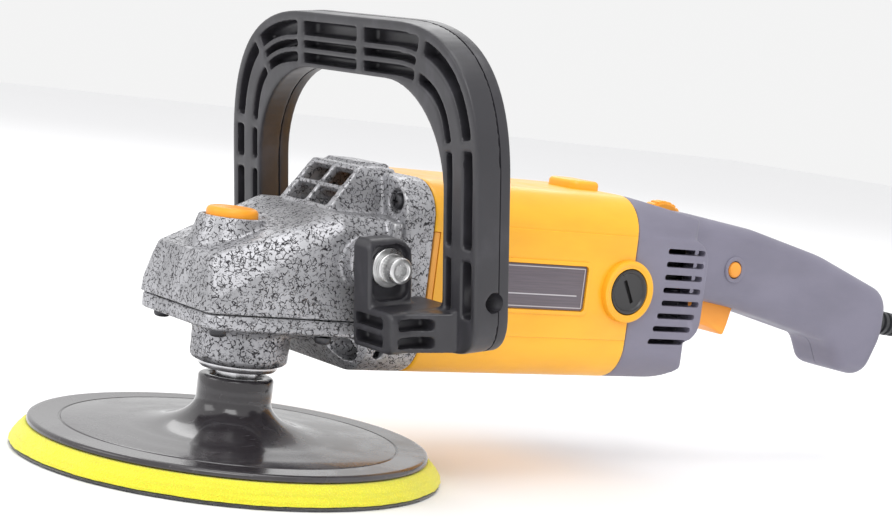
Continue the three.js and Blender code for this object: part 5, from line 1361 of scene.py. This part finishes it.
    def cover(self) -> None:
        """Makes the cover with the spindle's boss, the idler's boss and the screw pads."""
        plate = prism("cover", self.level(32.0, 41.2, -33.2, 43.0), Axis.Z, self.cover_low, self.cover_high)
        soften(plate, 1.0, 2)
        profile = [
            (0, 42.3), (18.6, 42.3), (19.6, 42.8), (20.4, 44.0), (20.6, 54.5), (21.6, 57.2),
            (23.6, 58.8), (25, 60.5), (0, 60.5),
        ]
        carve(plate, Cut.ADD, turned("boss", profile), bored(Axis.Z, 12.5, 53.3, 60.3, (30.15, 0, 0)))
        funnel = hull("funnel", [
            *((x, y, 60.2) for x in (4, 42) for y in (-24, 24)),
            *((x, y, 54.6) for x in (12, 40) for y in (-15, 15)),
        ])
        carve(plate, Cut.ADD, funnel)
        for x, y in self.screw_places:
            carve(plate, Cut.REMOVE, bored(Axis.Z, 2.3, 50, 70, (x, y, 0)))
        tools = [
            bored(Axis.Z, 16.0, 44.5, 66.8), bored(Axis.Z, 10.0, 40, 65.8),
            bored(Axis.Z, 25.2, 61.5, 66.8),
        ]
        tools.append(bored(Axis.Z, 9.5, 55.0, 66.8, (30.15, 0, 0)))
        for angle in (20, 110, 200, 290):
            notch = block("notch", (17.6, -2.4, 41.3), (22, 2.4, 44.4))
            tools.append(transformed(notch, Matrix.Rotation(math.radians(angle), 4, "Z")))
        carve(plate, Cut.REMOVE, *tools)
        cast(plate, self.voxel, 2, 0.55)
        dress(plate, Finishes.CAST, "root", ["lower_cover"], 50)

    def screws(self) -> None:
        """Sets the cover's and the flange's screws with one tree."""
        tree = fastener_tree()
        down = thing(
            "cover_points", [(x, y, 59.0) for x, y in self.screw_places],
            [],
        )
        values = {
            "Fastener": pan_screw("pattern", 3.5, 3.0, 12.0), "Tilt": (0.0, 0.0, 0.0), "Seed": 4,
            "Material": Finishes.SCREW.material(),
        }
        cover = tree.grow("cover_screws", down, values, [values["Fastener"]])
        dress(cover, Finishes.SCREW, "root", [f"cover_screw_{i}" for i in range(1, 5)], 30)
        places = [(49.7, y, self.motor_height + z) for y in (-32, 32) for z in (31, -31)]
        values = values | {
            "Fastener": pan_screw("pattern", 3.5, 3.0, 18.0), "Tilt": (0.0, math.pi / 2, 0.0), "Seed": 9,
        }
        flange = tree.grow("flange_screws", thing("flange_points", places, []), values, [values["Fastener"]])
        dress(flange, Finishes.SCREW, "root", [f"flange_screw_{i}" for i in range(1, 5)], 30)


def pan_screw(name: str, radius: float, height: float, shank: float) -> Thing:
    """A pan-head screw whose head hangs below the origin and whose shank points up.

    Args:
        name: The object's name.
        radius: The head's radius.
        height: The head's height.
        shank: The length of its threaded shank.

    Returns:
        The screw, with a cross recess.
    """
    profile = [
        (0, -height), (radius * 0.55, -height), (radius * 0.85, -height * 0.86),
        (radius, -height * 0.55),
    ]
    profile += [(radius, -0.15), (radius - 0.15, 0.0), (2.0, 0.0)]
    count = int(shank / 0.9)
    profile += [(2.0 if i % 2 else 1.7, 0.4 + 0.9 * i) for i in range(count)]
    profile += [(1.2, shank), (0, shank)]
    screw = turned(name, profile, segments=40)
    for wide, deep in ((0.42, 1.9), (1.9, 0.42)):
        carve(screw, Cut.REMOVE, block("recess", (-wide, -deep, -height - 1), (wide, deep, -height + 1.3)))
    return screw


@dataclass
class SpindleLock:
    """The orange button that locks the spindle, with its pin."""

    centre_x: float = -11.0
    top: float = 106.3
    radius: float = 10.8

    def build(self) -> None:
        """Makes the button: a flat crown with a rolled edge, a finger groove and its pin."""
        r, t = self.radius, self.top
        profile = [
            (0, 70.9), (1.5, 70.9), (2, 71.4), (2, 98.0), (r - 0.2, 98.0), (r, 98.3), (r, t - 3.4),
            (r, t - 2.6),
        ]
        profile += [
            (r - 0.1, t - 1.7), (r - 0.6, t - 0.8), (r - 1.5, t - 0.25), (r - 2.6, t - 0.05),
            (r - 3.1, t - 0.2),
        ]
        profile += [(r - 3.5, t - 0.3), (r - 4.2, t - 0.15), (3.0, t), (0, t)]
        button = turned("spindle_lock_cap", profile, Axis.Z, (self.centre_x, 0, 0), 96)
        dress(button, Finishes.LOCK, "spindle_lock", ["spindle_lock_button"], 40)


# ---- Motor housing ------------------------------------------------------------------------------


@dataclass
class MotorHousing:
    """The yellow housing with its label, brush caps, side panels and raised block."""

    height: float = 85.5
    front: float = 61.8
    back: float = 172.0
    half_width: float = 42.0
    half_height: float = 41.3
    corner: float = 17.0
    brush_x: float = 168.6

    def build(self) -> None:
        """Makes the housing, its label and its brush caps."""
        self.housing()
        self.baffle()
        self.label()
        self.caps()

    def ring(self, x: float, grow: float) -> list[Point3]:
        """One section of the housing, with the side panel's creases, at a place along the motor."""
        outline = rounded_rectangle(self.half_width + grow, self.half_height + grow, self.corner + grow, 10)
        return [(x, y, self.height + z) for y, z in outline]

    def housing(self) -> None:
        """Makes the housing from sections, then adds bosses and panels and opens it."""
        stations = [
            (self.front, -0.5), (62.4, -0.1), (63.4, 0.0), (120.0, 0.0), (150.0, 0.0), (self.back, 0.0),
        ]
        body = loft("motor_shell", [self.ring(x, grow) for x, grow in stations])
        for side in (-1, 1):
            outline = fillet(
                [(84, 63.2, 3), (self.back - 0.1, 63.2), (self.back - 0.1, 110.2), (84, 110.2, 3)]
            )
            low, high = sorted((side * 38.0, side * 42.55))
            panel = soften(prism("panel", outline, Axis.Y, low, high), 0.5, 2)
            carve(body, Cut.ADD, panel)
            boss = [
                (0, 30), (14.0, 30), (14.0, 44.3), (13.6, 45.2), (12.8, 45.6), (11.9, 45.5),
                (11.2, 45.0), (0, 45.0),
            ]
            placed = [(r, side * a) for r, a in boss]
            carve(body, Cut.ADD, turned("brush_boss", placed, Axis.Y, (self.brush_x, 0, self.height)))
        outline = fillet([(157, -11, 4.5), (self.back - 0.1, -11), (self.back - 0.1, 11), (157, 11, 4.5)])
        raised = prism("raised_block", outline, Axis.Z, 120.0, 130.8)
        carve(body, Cut.ADD, soften(raised, 2.0, 4, 50))
        tools = [bored(Axis.X, 38.6, 60, 180, (0, 0, self.height))]
        tools.append(bored(Axis.Y, 10.5, -60, 60, (self.brush_x, 0, self.height)))
        tools.append(block("side_slots", (60, -60, 73.0), (64.9, 60, 106.0)))
        outline = fillet(
            [(84.7, 75.45, 1.6), (145.3, 75.45, 1.6), (145.3, 95.55, 1.6), (84.7, 95.55, 1.6)], 4,
        )
        for y in (-32, 32):
            for z in (-31, 31):
                tools.append(bored(Axis.X, 2.3, 60, 73.8, (0, y, self.height + z)))
        carve(body, Cut.REMOVE, *tools)
        frame_out = fillet([(82.9, 73.6, 2.6), (147.1, 73.6, 2.6), (147.1, 97.4, 2.6), (82.9, 97.4, 2.6)], 5)
        frame = prism("label_frame", frame_out, Axis.Y, -43.3, -41.0)
        soften(frame, 0.5, 2)
        carve(body, Cut.ADD, frame)
        carve(body, Cut.REMOVE, prism("label_room", outline, Axis.Y, -60, -41.85))
        dress(seal(body), Finishes.YELLOW, "root", ["motor_housing"], 30)

    def baffle(self) -> None:
        """Makes the air baffle with the two tabs that fill the housing's side slots."""
        rim = turned(
            "rim", [(26.4, 62.0), (38.2, 62.0), (38.2, 65.1), (26.4, 65.1)], Axis.X, (0, 0, self.height),
        )
        tabs = []
        for side in (-1, 1):
            near, far = sorted((side * 38.6, side * 41.7))
            tabs.append(soften(block("tab", (62.1, near, 73.3), (64.7, far, 105.7)), 0.3, 2))
        dress(join("baffle_insert", [rim, *tabs]), Finishes.INNER, "root", ["baffle_ring"], 30)

    def label(self) -> None:
        """Makes the label as a thin film with rounded corners, seated in its frame."""
        outline = fillet([(85, 75.75, 1.4), (145, 75.75, 1.4), (145, 95.25, 1.4), (85, 95.25, 1.4)], 4)
        plate = prism("label_film_plate", outline, Axis.Y, -42.55, -41.9)
        soften(plate, 0.15, 2)
        dress(plate, Finishes.LABEL, "root", ["label_plate"], 30)

    def caps(self) -> None:
        """Makes the two screw-in brush caps with coin slots."""
        for name, side in (("left", -1), ("right", 1)):
            profile = [
                (0, 38), (10.2, 38), (10.2, 44.4), (9.9, 45.0), (9.2, 45.2), (8.6, 44.8), (8.2, 44.3),
                (7.6, 44.25), (0, 44.25),
            ]
            cap = turned(
                "brush_cap_body_" + name, [(r, side * a) for r, a in profile], Axis.Y,
                (self.brush_x, 0, self.height), 72,
            )
            slot = prism(
                "slot", rounded_rectangle(5.6, 0.95, 0.5, 4), Axis.Y,
                *sorted((side * 42.6, side * 47.0)),
            )
            tilt = Matrix.Rotation(math.radians(62.0), 4, "Y")
            tilt.translation = Vector((self.brush_x, 0, self.height))
            carve(cap, Cut.REMOVE, transformed(slot, tilt))
            dress(cap, Finishes.CAP, "root", ["brush_cap_" + name], 30)


# ---- Rear housing -------------------------------------------------------------------------------


@dataclass
class RearHousing:
    """The grey tail and grip in two shells, with vents, screws and the openings for the controls."""

    height: float = 85.5
    front: float = 172.3
    half_width: float = 18.5
    voxel: float = 0.95
    seam: float = 0.16
    screw_places: tuple[Point2, ...] = ((231.5, 90), (292, 92), (350, 58))

    def build(self) -> None:
        """Makes the form once, splits it and sets the screws."""
        form = self.form()
        tools = [*self.vents(), *self.openings()]
        carve(form, Cut.REMOVE, *tools)
        for name, side in (("left", -1), ("right", 1)):
            shell = copy_of(form, "rear_shell_" + name)
            low, high = (-80.0, -self.seam) if side < 0 else (self.seam, 80.0)
            carve(shell, Cut.KEEP, block("half", (160, low, 20), (400, high, 160)))
            if side < 0:
                collar = [(4.3, -16.0), (6.4, -16.0), (6.4, -18.9), (6.0, -19.4), (5.2, -19.4), (4.3, -18.9)]
                carve(shell, Cut.ADD, turned("collar", collar, Axis.Y, (255, 0, 95.6), 48))
            dress(seal(shell), Finishes.GREY, "root", ["rear_housing_" + name], 35)
        bpy.data.objects.remove(form)
        self.screws()

    def tail(self, inset: float) -> Thing:
        """The motor's tail, which rounds down to the grip, inset by a wall."""
        i, low, high = inset, self.height - 41.3 + inset, self.height + 41.3 - inset
        front = self.front - (1.0 if inset else 0.0)
        outline = rounded_rectangle(42.0 - i, 41.3 - i, 17.0 - i, 10)
        body = prism("tail", [(y, self.height + z) for y, z in outline], Axis.X, front, 262)
        side = fillet([
            (front, low), (215 - i, low, 28), (219 - i, 84), (237 - i, 84), (237 - i, 115 - i, 10),
            (front, high),
        ], 10)
        plan = fillet([
            (front, -42 + i), (208 - i, -41.2 + i, 9), (227.5 - i, -18.5 + i, 9), (237 - i, -15 + i, 6),
            (237 - i, 15 - i, 6), (227.5 - i, 18.5 - i, 9), (208 - i, 41.2 - i, 9), (front, 42 - i),
        ], 8)
        return carve(
            body, Cut.KEEP, prism("side", side, Axis.Y, -60, 60), prism("plan", plan, Axis.Z, 0, 200),
        )

    def grip(self, inset: float) -> Thing:
        """The grip and its hook, as a rounded extrusion inset by a wall."""
        i = inset
        outline = fillet([
            (206, 122.6 - i, 20), (206, 84 + i), (262, 76.5 + i, 60), (330 + i, 61.6 + i, 10),
            (337.5 + i, 48 + i, 7),
            (356 - i, 44.5 + i, 11), (366 - i, 66, 30), (366 - i, 88 - i, 13), (316, 104.8 - i, 90),
            (268, 115 - i, 70),
        ], 10)
        w = self.half_width - i
        return soften(prism("grip", outline, Axis.Y, -w, w), max(10.0 - i, 3.0), 5, 50)

    def form(self) -> Thing:
        """The hollow housing with creased side panels, evenly remeshed."""
        outer = carve(self.tail(0.0), Cut.ADD, self.grip(0.0))
        for side in (-1, 1):
            outline = fillet([(self.front, 63.2), (216, 63.2, 10), (216, 110.2, 10), (self.front, 110.2)])
            low, high = sorted((side * 38.0, side * 42.5))
            carve(outer, Cut.ADD, soften(prism("panel", outline, Axis.Y, low, high), 0.5, 2))
        inner = carve(self.tail(2.8), Cut.ADD, self.grip(2.8))
        carve(outer, Cut.REMOVE, inner)
        mouth = block("mouth", (160, -80, 20), (self.front + 0.02, 80, 160))
        cast(outer, self.voxel, 4, 0.5)
        return carve(outer, Cut.REMOVE, mouth)

    def vents(self) -> list[Thing]:
        """Eight vents a side that wrap the tail's rear corner, with rounded ends."""
        tools = []
        for i in range(8):
            z = 104.6 - 5.9 * i
            shift = -1.6 * max(i - 4, 0)
            for side in (-1, 1):
                low, high = sorted((side * 17.0, side * 60.0))
                first, last = 190.5 + shift, 213 + shift
                low_side, high_side = z - 1.3, z + 1.3
                corners = [(first, low_side), (last, low_side), (last, high_side), (first, high_side)]
                outline = fillet([(*corner, 1.2) for corner in corners], 3)
                tools.append(prism("vent", outline, Axis.Y, low, high))
        return tools

    def openings(self) -> list[Thing]:
        """The openings for brush bosses, dial, trigger, lock-on button, cord and shell screws."""
        tools = [
            bored(Axis.Y, 14.25, -60, 60, (168.6, 0, self.height)),
            bored(Axis.Y, 13.8, -4.3, 4.3, (219.5, 0, 111.4)),
            bored(Axis.Y, 4.4, -60, 0, (255, 0, 95.6)),
        ]
        slot = block("trigger_slot", (-13.3, -9.3, -8), (13.3, 9.3, 4.6))
        tilt = Matrix.Rotation(math.radians(11.5), 4, "Y")
        tilt.translation = Vector((254.5, 0, 77.9))
        tools.append(transformed(slot, tilt))
        hole = bored(Axis.X, 6.9, -14, 10)
        tilt = Matrix.Rotation(math.radians(6.0), 4, "Y")
        tilt.translation = Vector((366.3, 0, 72.5))
        tools.append(transformed(hole, tilt))
        for x, z in self.screw_places:
            tools.append(bored(Axis.Y, 3.6, 14.4, 60, (x, 0, z)))
        return tools

    def screws(self) -> None:
        """Makes the three shell screws on the right-hand side."""
        tree = fastener_tree()
        pattern = pan_screw("pattern", 3.0, 2.4, 10.0)
        places = [(x, 14.9, z) for x, z in self.screw_places]
        values = {
            "Fastener": pattern, "Tilt": (math.pi / 2, 0.0, 0.0), "Seed": 3,
            "Material": Finishes.SCREW.material(),
        }
        screws = tree.grow("shell_screws", thing("points", places, []), values, [pattern])
        dress(screws, Finishes.SCREW, "root", [f"shell_screw_{i}" for i in range(1, 4)], 30)


@dataclass
class Controls:
    """The trigger, the lock-on button and the speed dial."""

    def build(self) -> None:
        """Makes the three controls on their bodies."""
        self.trigger()
        self.button()
        self.dial()

    def trigger(self) -> None:
        """Makes the trigger with a hollowed finger face and its stop flange."""
        face = [(12.5, 4.9), (-12.5, 4.9), (-12.5, -7.0, 3.0), (-11.6, -12.0, 3.4)]
        steps = 8
        for i in range(steps + 1):
            share = i / steps
            x = -8.0 + 17.5 * share
            face.append((x, -12.3 - 1.2 * share + 0.9 * math.sin(math.pi * share)))
        face += [(11.4, -13.5, 2.4), (12.1, -8.0, 3.0)]
        body = soften(prism("trigger_body", fillet(face, 4), Axis.Y, -8.5, 8.5), 2.2, 4, 50)
        stop = soften(block("stop", (-14.5, -10.1, 3.9), (14.5, 10.1, 5.9)), 0.4, 2)
        carve(body, Cut.ADD, stop)
        tilt = Matrix.Rotation(math.radians(11.5), 4, "Y")
        tilt.translation = Vector((254.5, 0, 77.9))
        transformed(body, tilt)
        dress(body, Finishes.ORANGE, "trigger", ["trigger"], 35)

    def button(self) -> None:
        """Makes the domed lock-on button."""
        profile = [
            (0, -20.4), (1.6, -20.3), (2.8, -20.0), (3.4, -19.5), (3.8, -18.8), (3.8, -15.6),
            (5.0, -15.6), (5.0, -14.0), (0, -14.0),
        ]
        button = turned("lock_on_cap", profile, Axis.Y, (255, 0, 95.6), 48)
        dress(button, Finishes.ORANGE, "lock_on", ["lock_on_button"], 40)

    def dial(self) -> None:
        """Makes the speed dial: a wheel with teeth that one tree sets round its rim."""
        profile = [(2.3, -3.5), (11.6, -3.5), (12.2, -3.0), (12.2, 3.0), (11.6, 3.5), (2.3, 3.5)]
        wheel = turned("wheel", profile, Axis.Y, segments=96)
        tooth = hull("tooth", [
            *((x, y, 11.6) for x in (-1.25, 1.25) for y in (-3.2, 3.2)),
            *((x, y, 12.75) for x in (-0.95, 0.95) for y in (-2.9, 2.9)),
            *((x, y, 13.0) for x in (-0.6, 0.6) for y in (-2.6, 2.6)),
        ])
        teeth = wheel_tree().grow("teeth", tooth, {"Count": 26, "Material": Finishes.LOCK.material()})
        carve(wheel, Cut.ADD, teeth)
        wheel.name = "speed_dial_wheel"
        place = Matrix.Translation((219.5, 0, 111.4))
        dress(transformed(wheel, place), Finishes.LOCK, "dial", ["speed_dial"], 35)


# ---- Front handle -------------------------------------------------------------------------------


@dataclass
class FrontHandle:
    """The D-shaped front handle in two shells, with cored front pockets, ears and feet."""

    tilt: float = -8.0
    bolt: Point3 = (31.3, 0.0, 91.4)
    half_width: float = 97.0
    top: float = 97.5
    bottom: float = -32.0
    band: float = 24.0
    corner: float = 60.0
    face: float = 14.0
    split: float = 25.0
    depth: float = 30.0
    voxel: float = 0.8

    def build(self) -> None:
        """Makes both shells and the bolts."""
        self.front_shell()
        self.rear_shell()
        for name, side in (("left", -1), ("right", 1)):
            self.fasteners(name, side)

    def placed(self, obj: Thing) -> Thing:
        """Leans a piece made about the bolts' axis, and sets it in place."""
        matrix = Matrix.Rotation(math.radians(self.tilt), 4, "Y")
        matrix.translation = Vector(self.bolt)
        return transformed(obj, matrix)

    def edge(self) -> list[Point2]:
        """The arch's outer edge, from the left foot over the top to the right foot, as dense points."""
        w, t, b, c, f = self.half_width, self.top, self.bottom, self.corner, 16.0
        corners = [((-w, b), f), ((-w, t), c), ((w, t), c), ((w, b), f)]
        route = [(-63.0, b), *(p for p, _ in corners), (63.0, b)]
        points: list[Point2] = [route[0]]
        for i, (here, reach) in enumerate(corners, 1):
            p = Vector(here)
            first = p + (Vector(route[i - 1]) - p).normalized() * reach
            last = p + (Vector(route[i + 1]) - p).normalized() * reach
            for k in range(25):
                s = k / 24
                q = first * (1 - s) ** 2 + p * 2 * s * (1 - s) + last * s * s
                points.append((q.x, q.y))
        points.append(route[-1])
        return self.even(points)

    def even(self, points: list[Point2], step: float = 1.0) -> list[Point2]:
        """Points every step along a line."""
        lengths = [0.0]
        for a, b in zip(points, points[1:]):
            lengths.append(lengths[-1] + (Vector(b) - Vector(a)).length)
        count = int(lengths[-1] / step)
        marks = np.linspace(0, lengths[-1], count + 1)
        xs, ys = zip(*points)
        return list(zip(np.interp(marks, lengths, xs), np.interp(marks, lengths, ys)))

    def inward(self, points: list[Point2], start: int, stop: int, inset: float) -> list[Point2]:
        """Part of the edge, moved towards the opening by a distance."""
        moved = []
        for i in range(max(start, 1), min(stop, len(points) - 1)):
            run = Vector(points[i + 1]) - Vector(points[i - 1])
            normal = Vector((run.y, -run.x)).normalized()
            moved.append((points[i][0] + normal.x * inset, points[i][1] + normal.y * inset))
        return moved

    def nearest(self, points: list[Point2], place: Point2) -> int:
        """The number of the edge point nearest to a place."""
        return min(range(len(points)), key=lambda i: (Vector(points[i]) - Vector(place)).length)

    def arch(self, low: float, high: float) -> Thing:
        """The whole arch between two depths, with rounded edges front and back."""
        edge = self.edge()
        inner_w, sill = self.half_width - self.band, self.bottom + 17.0
        inner = [
            (63.0, sill), (inner_w, sill, 4), (inner_w, self.top - self.band, 45),
            (-inner_w, self.top - self.band, 45), (-inner_w, sill, 4), (-63.0, sill),
        ]
        rounded = fillet(inner, 14)
        body = soften(prism("arch", edge + rounded, Axis.X, self.face, self.depth), 5.0, 5, 60)
        return carve(body, Cut.KEEP, block("part", (low, -200, -100), (high, 200, 200)))

    def pockets(self) -> list[Thing]:
        """The pockets in rows that follow the arch, with ribs between."""
        edge = self.edge()
        ribs = [
            (-97, -19), (-97, 9.2), (-90, 52), (-56, 90), (-11, 97.5), (38, 97.5), (74, 82), (96, 46),
            (97, 26), (97, -19),
        ]
        marks = [self.nearest(edge, rib) for rib in ribs]
        rows = ((4.2, 10.2, range(0, 9)), (17.9, 22.0, range(0, 9)), (12.6, 15.6, (3, 4, 5)))
        tools = []
        for near, far, gaps in rows:
            for i in gaps:
                start, stop = marks[i] + 2, marks[i + 1] - 2
                if near > 11 and i in (0, 8):
                    start, stop = (start + 2, stop) if i == 0 else (start, stop - 2)
                outer = self.inward(edge, start, stop, near)
                inner = self.inward(edge, start, stop, far)
                tools.append(prism("pocket", outer + inner[::-1], Axis.X, self.face - 5, self.face + 8.0))
        for start, stop in ((6, 22), (len(edge) - 22, len(edge) - 6)):
            outer, inner = self.inward(edge, start, stop, 4.5), self.inward(edge, start, stop, 8.5)
            tools.append(prism("pocket", outer + inner[::-1], Axis.X, self.face - 5, self.face + 7.0))
        return tools

    def ear(self, side: int) -> Thing:
        """One ear with its dished bolt seat, and the foot that joins it to the arch."""
        def across(corners: list[tuple], low: float, high: float, name: str) -> Thing:
            """A rounded block drawn in Y and Z for one side."""
            return soften(
                prism(name, [(side * y, z) for y, z in fillet(corners, 6)], Axis.X, low, high), 2.0, 4,
                40,
            )

        upright = across([(45.8, -31), (57.8, -31), (57.8, 12, 5), (45.8, 12, 1)], -10.5, 10.5, "upright")
        profile = fillet([(-12, -40), (10.6, -40), (10.6, 12.2, 9), (-10.6, 12.2, 5), (-12, -10)], 8)
        carve(upright, Cut.KEEP, prism("ear_side", profile, Axis.Y, *sorted((side * 40, side * 70))))
        foot = across([(45.8, -32, 2), (74.5, -32, 4), (74.5, -15, 4), (45.8, -15, 1)], -10.5, 22.0, "foot")
        bridge = hull("bridge", [
            *((x, side * y, z) for x in (14.5, 30.0) for y in (62.0, 84.0) for z in (-31.5, -15.5)),
            *((-2.0, side * y, z) for y in (62.0, 74.0) for z in (-31.5, -15.5)),
        ])
        gusset = hull(
            "gusset",
            [(x, side * y, z) for x, z in ((-6, -14), (9, -14), (-6, -4), (9, -4)) for y in (46.2, 52.0)]
        )
        return carve(upright, Cut.ADD, foot, bridge, gusset)

    def front_shell(self) -> None:
        """Makes the front shell: arch, ears, pockets, dishes, bores and foot slots."""
        body = self.arch(0.0, self.split - 0.12)
        carve(body, Cut.REMOVE, *self.pockets())
        for side in (-1, 1):
            carve(body, Cut.ADD, self.ear(side))
            dish = fillet([(-8.4, -13.0, 4), (8.6, -13.0, 4), (8.6, 9.6, 6), (-8.4, 9.6, 4)], 6)
            tools = [prism("dish", dish, Axis.Y, *sorted((side * 54.8, side * 80.0)))]
            tools.append(bored(Axis.Y, 3.7, *sorted((side * 30.0, side * 80.0))))
            tools.append(bored(Axis.Y, 4.0, *sorted((side * 86.0, side * 130.0)), (23.0, 0, -10)))
            for middle in (-20.1, -27.3):
                z = (middle - 2.3, middle + 2.3)
                ends = sorted((side * 48.0, side * 67.5))
                tools.append(block("foot_slot", (-14.0, ends[0], z[0]), (-4.5, ends[1], z[1])))
                ends = sorted((side * 69.5, side * 90.0))
                tools.append(block("corner_slot", (-7.0, ends[0], z[0]), (7.0, ends[1], z[1])))
            carve(body, Cut.REMOVE, *tools)
        cast(body, self.voxel, 2, 0.6)
        body.name = "handle_front"
        dress(self.placed(body), Finishes.HANDLE, "root", ["handle_front_shell"], 50)

    def rear_shell(self) -> None:
        """Makes the rear shell with its rolled back edge."""
        body = self.arch(self.split + 0.12, 60.0)
        for side in (-1, 1):
            carve(body, Cut.REMOVE, bored(Axis.Y, 4.0, *sorted((side * 86.0, side * 130.0)), (23.0, 0, -10)))
        soften(body, 0.35, 2, 50)
        body.name = "handle_rear"
        dress(self.placed(body), Finishes.HANDLE, "root", ["handle_rear_shell"], 40)

    def fasteners(self, name: str, side: int) -> None:
        """Makes one bolt with its spring washer, and the flat washer under it."""
        def spun(part: str, profile: list[Point2], segments: int = 72) -> Thing:
            """A turned part on the bolts' axis for one side."""
            return turned(part, [(r, side * a) for r, a in profile], Axis.Y, segments=segments)

        washer = [(3.7, 55.1), (7.9, 55.1), (8.0, 55.2), (8.0, 56.3), (7.8, 56.5), (3.9, 56.5), (3.7, 56.3)]
        flat = spun("handle_flat_washer_" + name, washer)
        dress(self.placed(flat), Finishes.ZINC, "root", ["handle_washer_" + name], 30)
        knurl = []
        count = 60
        for i in range(count):
            radius = 5.4 if i % 2 else 5.22
            angle = 2 * math.pi * i / count
            knurl.append((radius * math.cos(angle), radius * math.sin(angle)))
        shank = [
            (0, 30), (2.9, 30), (3.4, 30.6), (3.4, 56.6), (5.9, 56.6), (6.1, 56.8), (6.1, 57.4),
            (5.6, 57.5),
        ]
        shank += [(5.6, 57.7), (6.1, 57.8), (6.1, 58.4), (5.9, 58.6), (0, 58.6)]
        head = prism("head", knurl, Axis.Y, *sorted((side * 58.7, side * 64.8)))
        turns = [math.pi * (i / 3 + 0.1) for i in range(6)]
        hexagon = [(2.9 * math.cos(turn), 2.9 * math.sin(turn)) for turn in turns]
        carve(head, Cut.REMOVE, prism("socket", hexagon, Axis.Y, *sorted((side * 61.0, side * 67.0))))
        crown = spun(
            "crown",
            [(3.6, 64.9), (5.2, 64.9), (5.3, 65.1), (5.0, 65.6), (4.5, 65.8), (3.9, 65.8), (3.6, 65.4)],
        )
        bolt = join("handle_cap_bolt_" + name, [spun("shank", shank), head, crown])
        dress(self.placed(bolt), Finishes.ZINC, "root", ["handle_bolt_" + name], 30)


# ---- Inside -------------------------------------------------------------------------------------


def dress_inside() -> None:
    """Gives every carried-over node the finish of its slot."""
    for name, node in sorted(frame["nodes"].items()):
        if node.hide_render:
            continue
        slot = node.data.materials[0].name.split(".")[0] if node.data.materials else "steel"
        finish = CARRIED_OVER.get(slot, Finishes.SHAFT)
        for i in range(len(node.data.materials)):
            node.data.materials[i] = finish.material()
        LOG.info("%s keeps its shape with %s", name, finish.name)


def main() -> None:
    """Builds the studio and the polisher in order."""
    logging.basicConfig(level=logging.INFO, format="%(name)s: %(message)s")
    assemblies = (
        Studio(), Cord(), Pad(), Spindle(), GearHead(), SpindleLock(), MotorHousing(), RearHousing(),
        Controls(), FrontHandle(),
    )
    for assembly in assemblies:
        LOG.info("building %s", type(assembly).__name__)
        assembly.build()
    dress_inside()


if __name__ == "__main__":
    main()
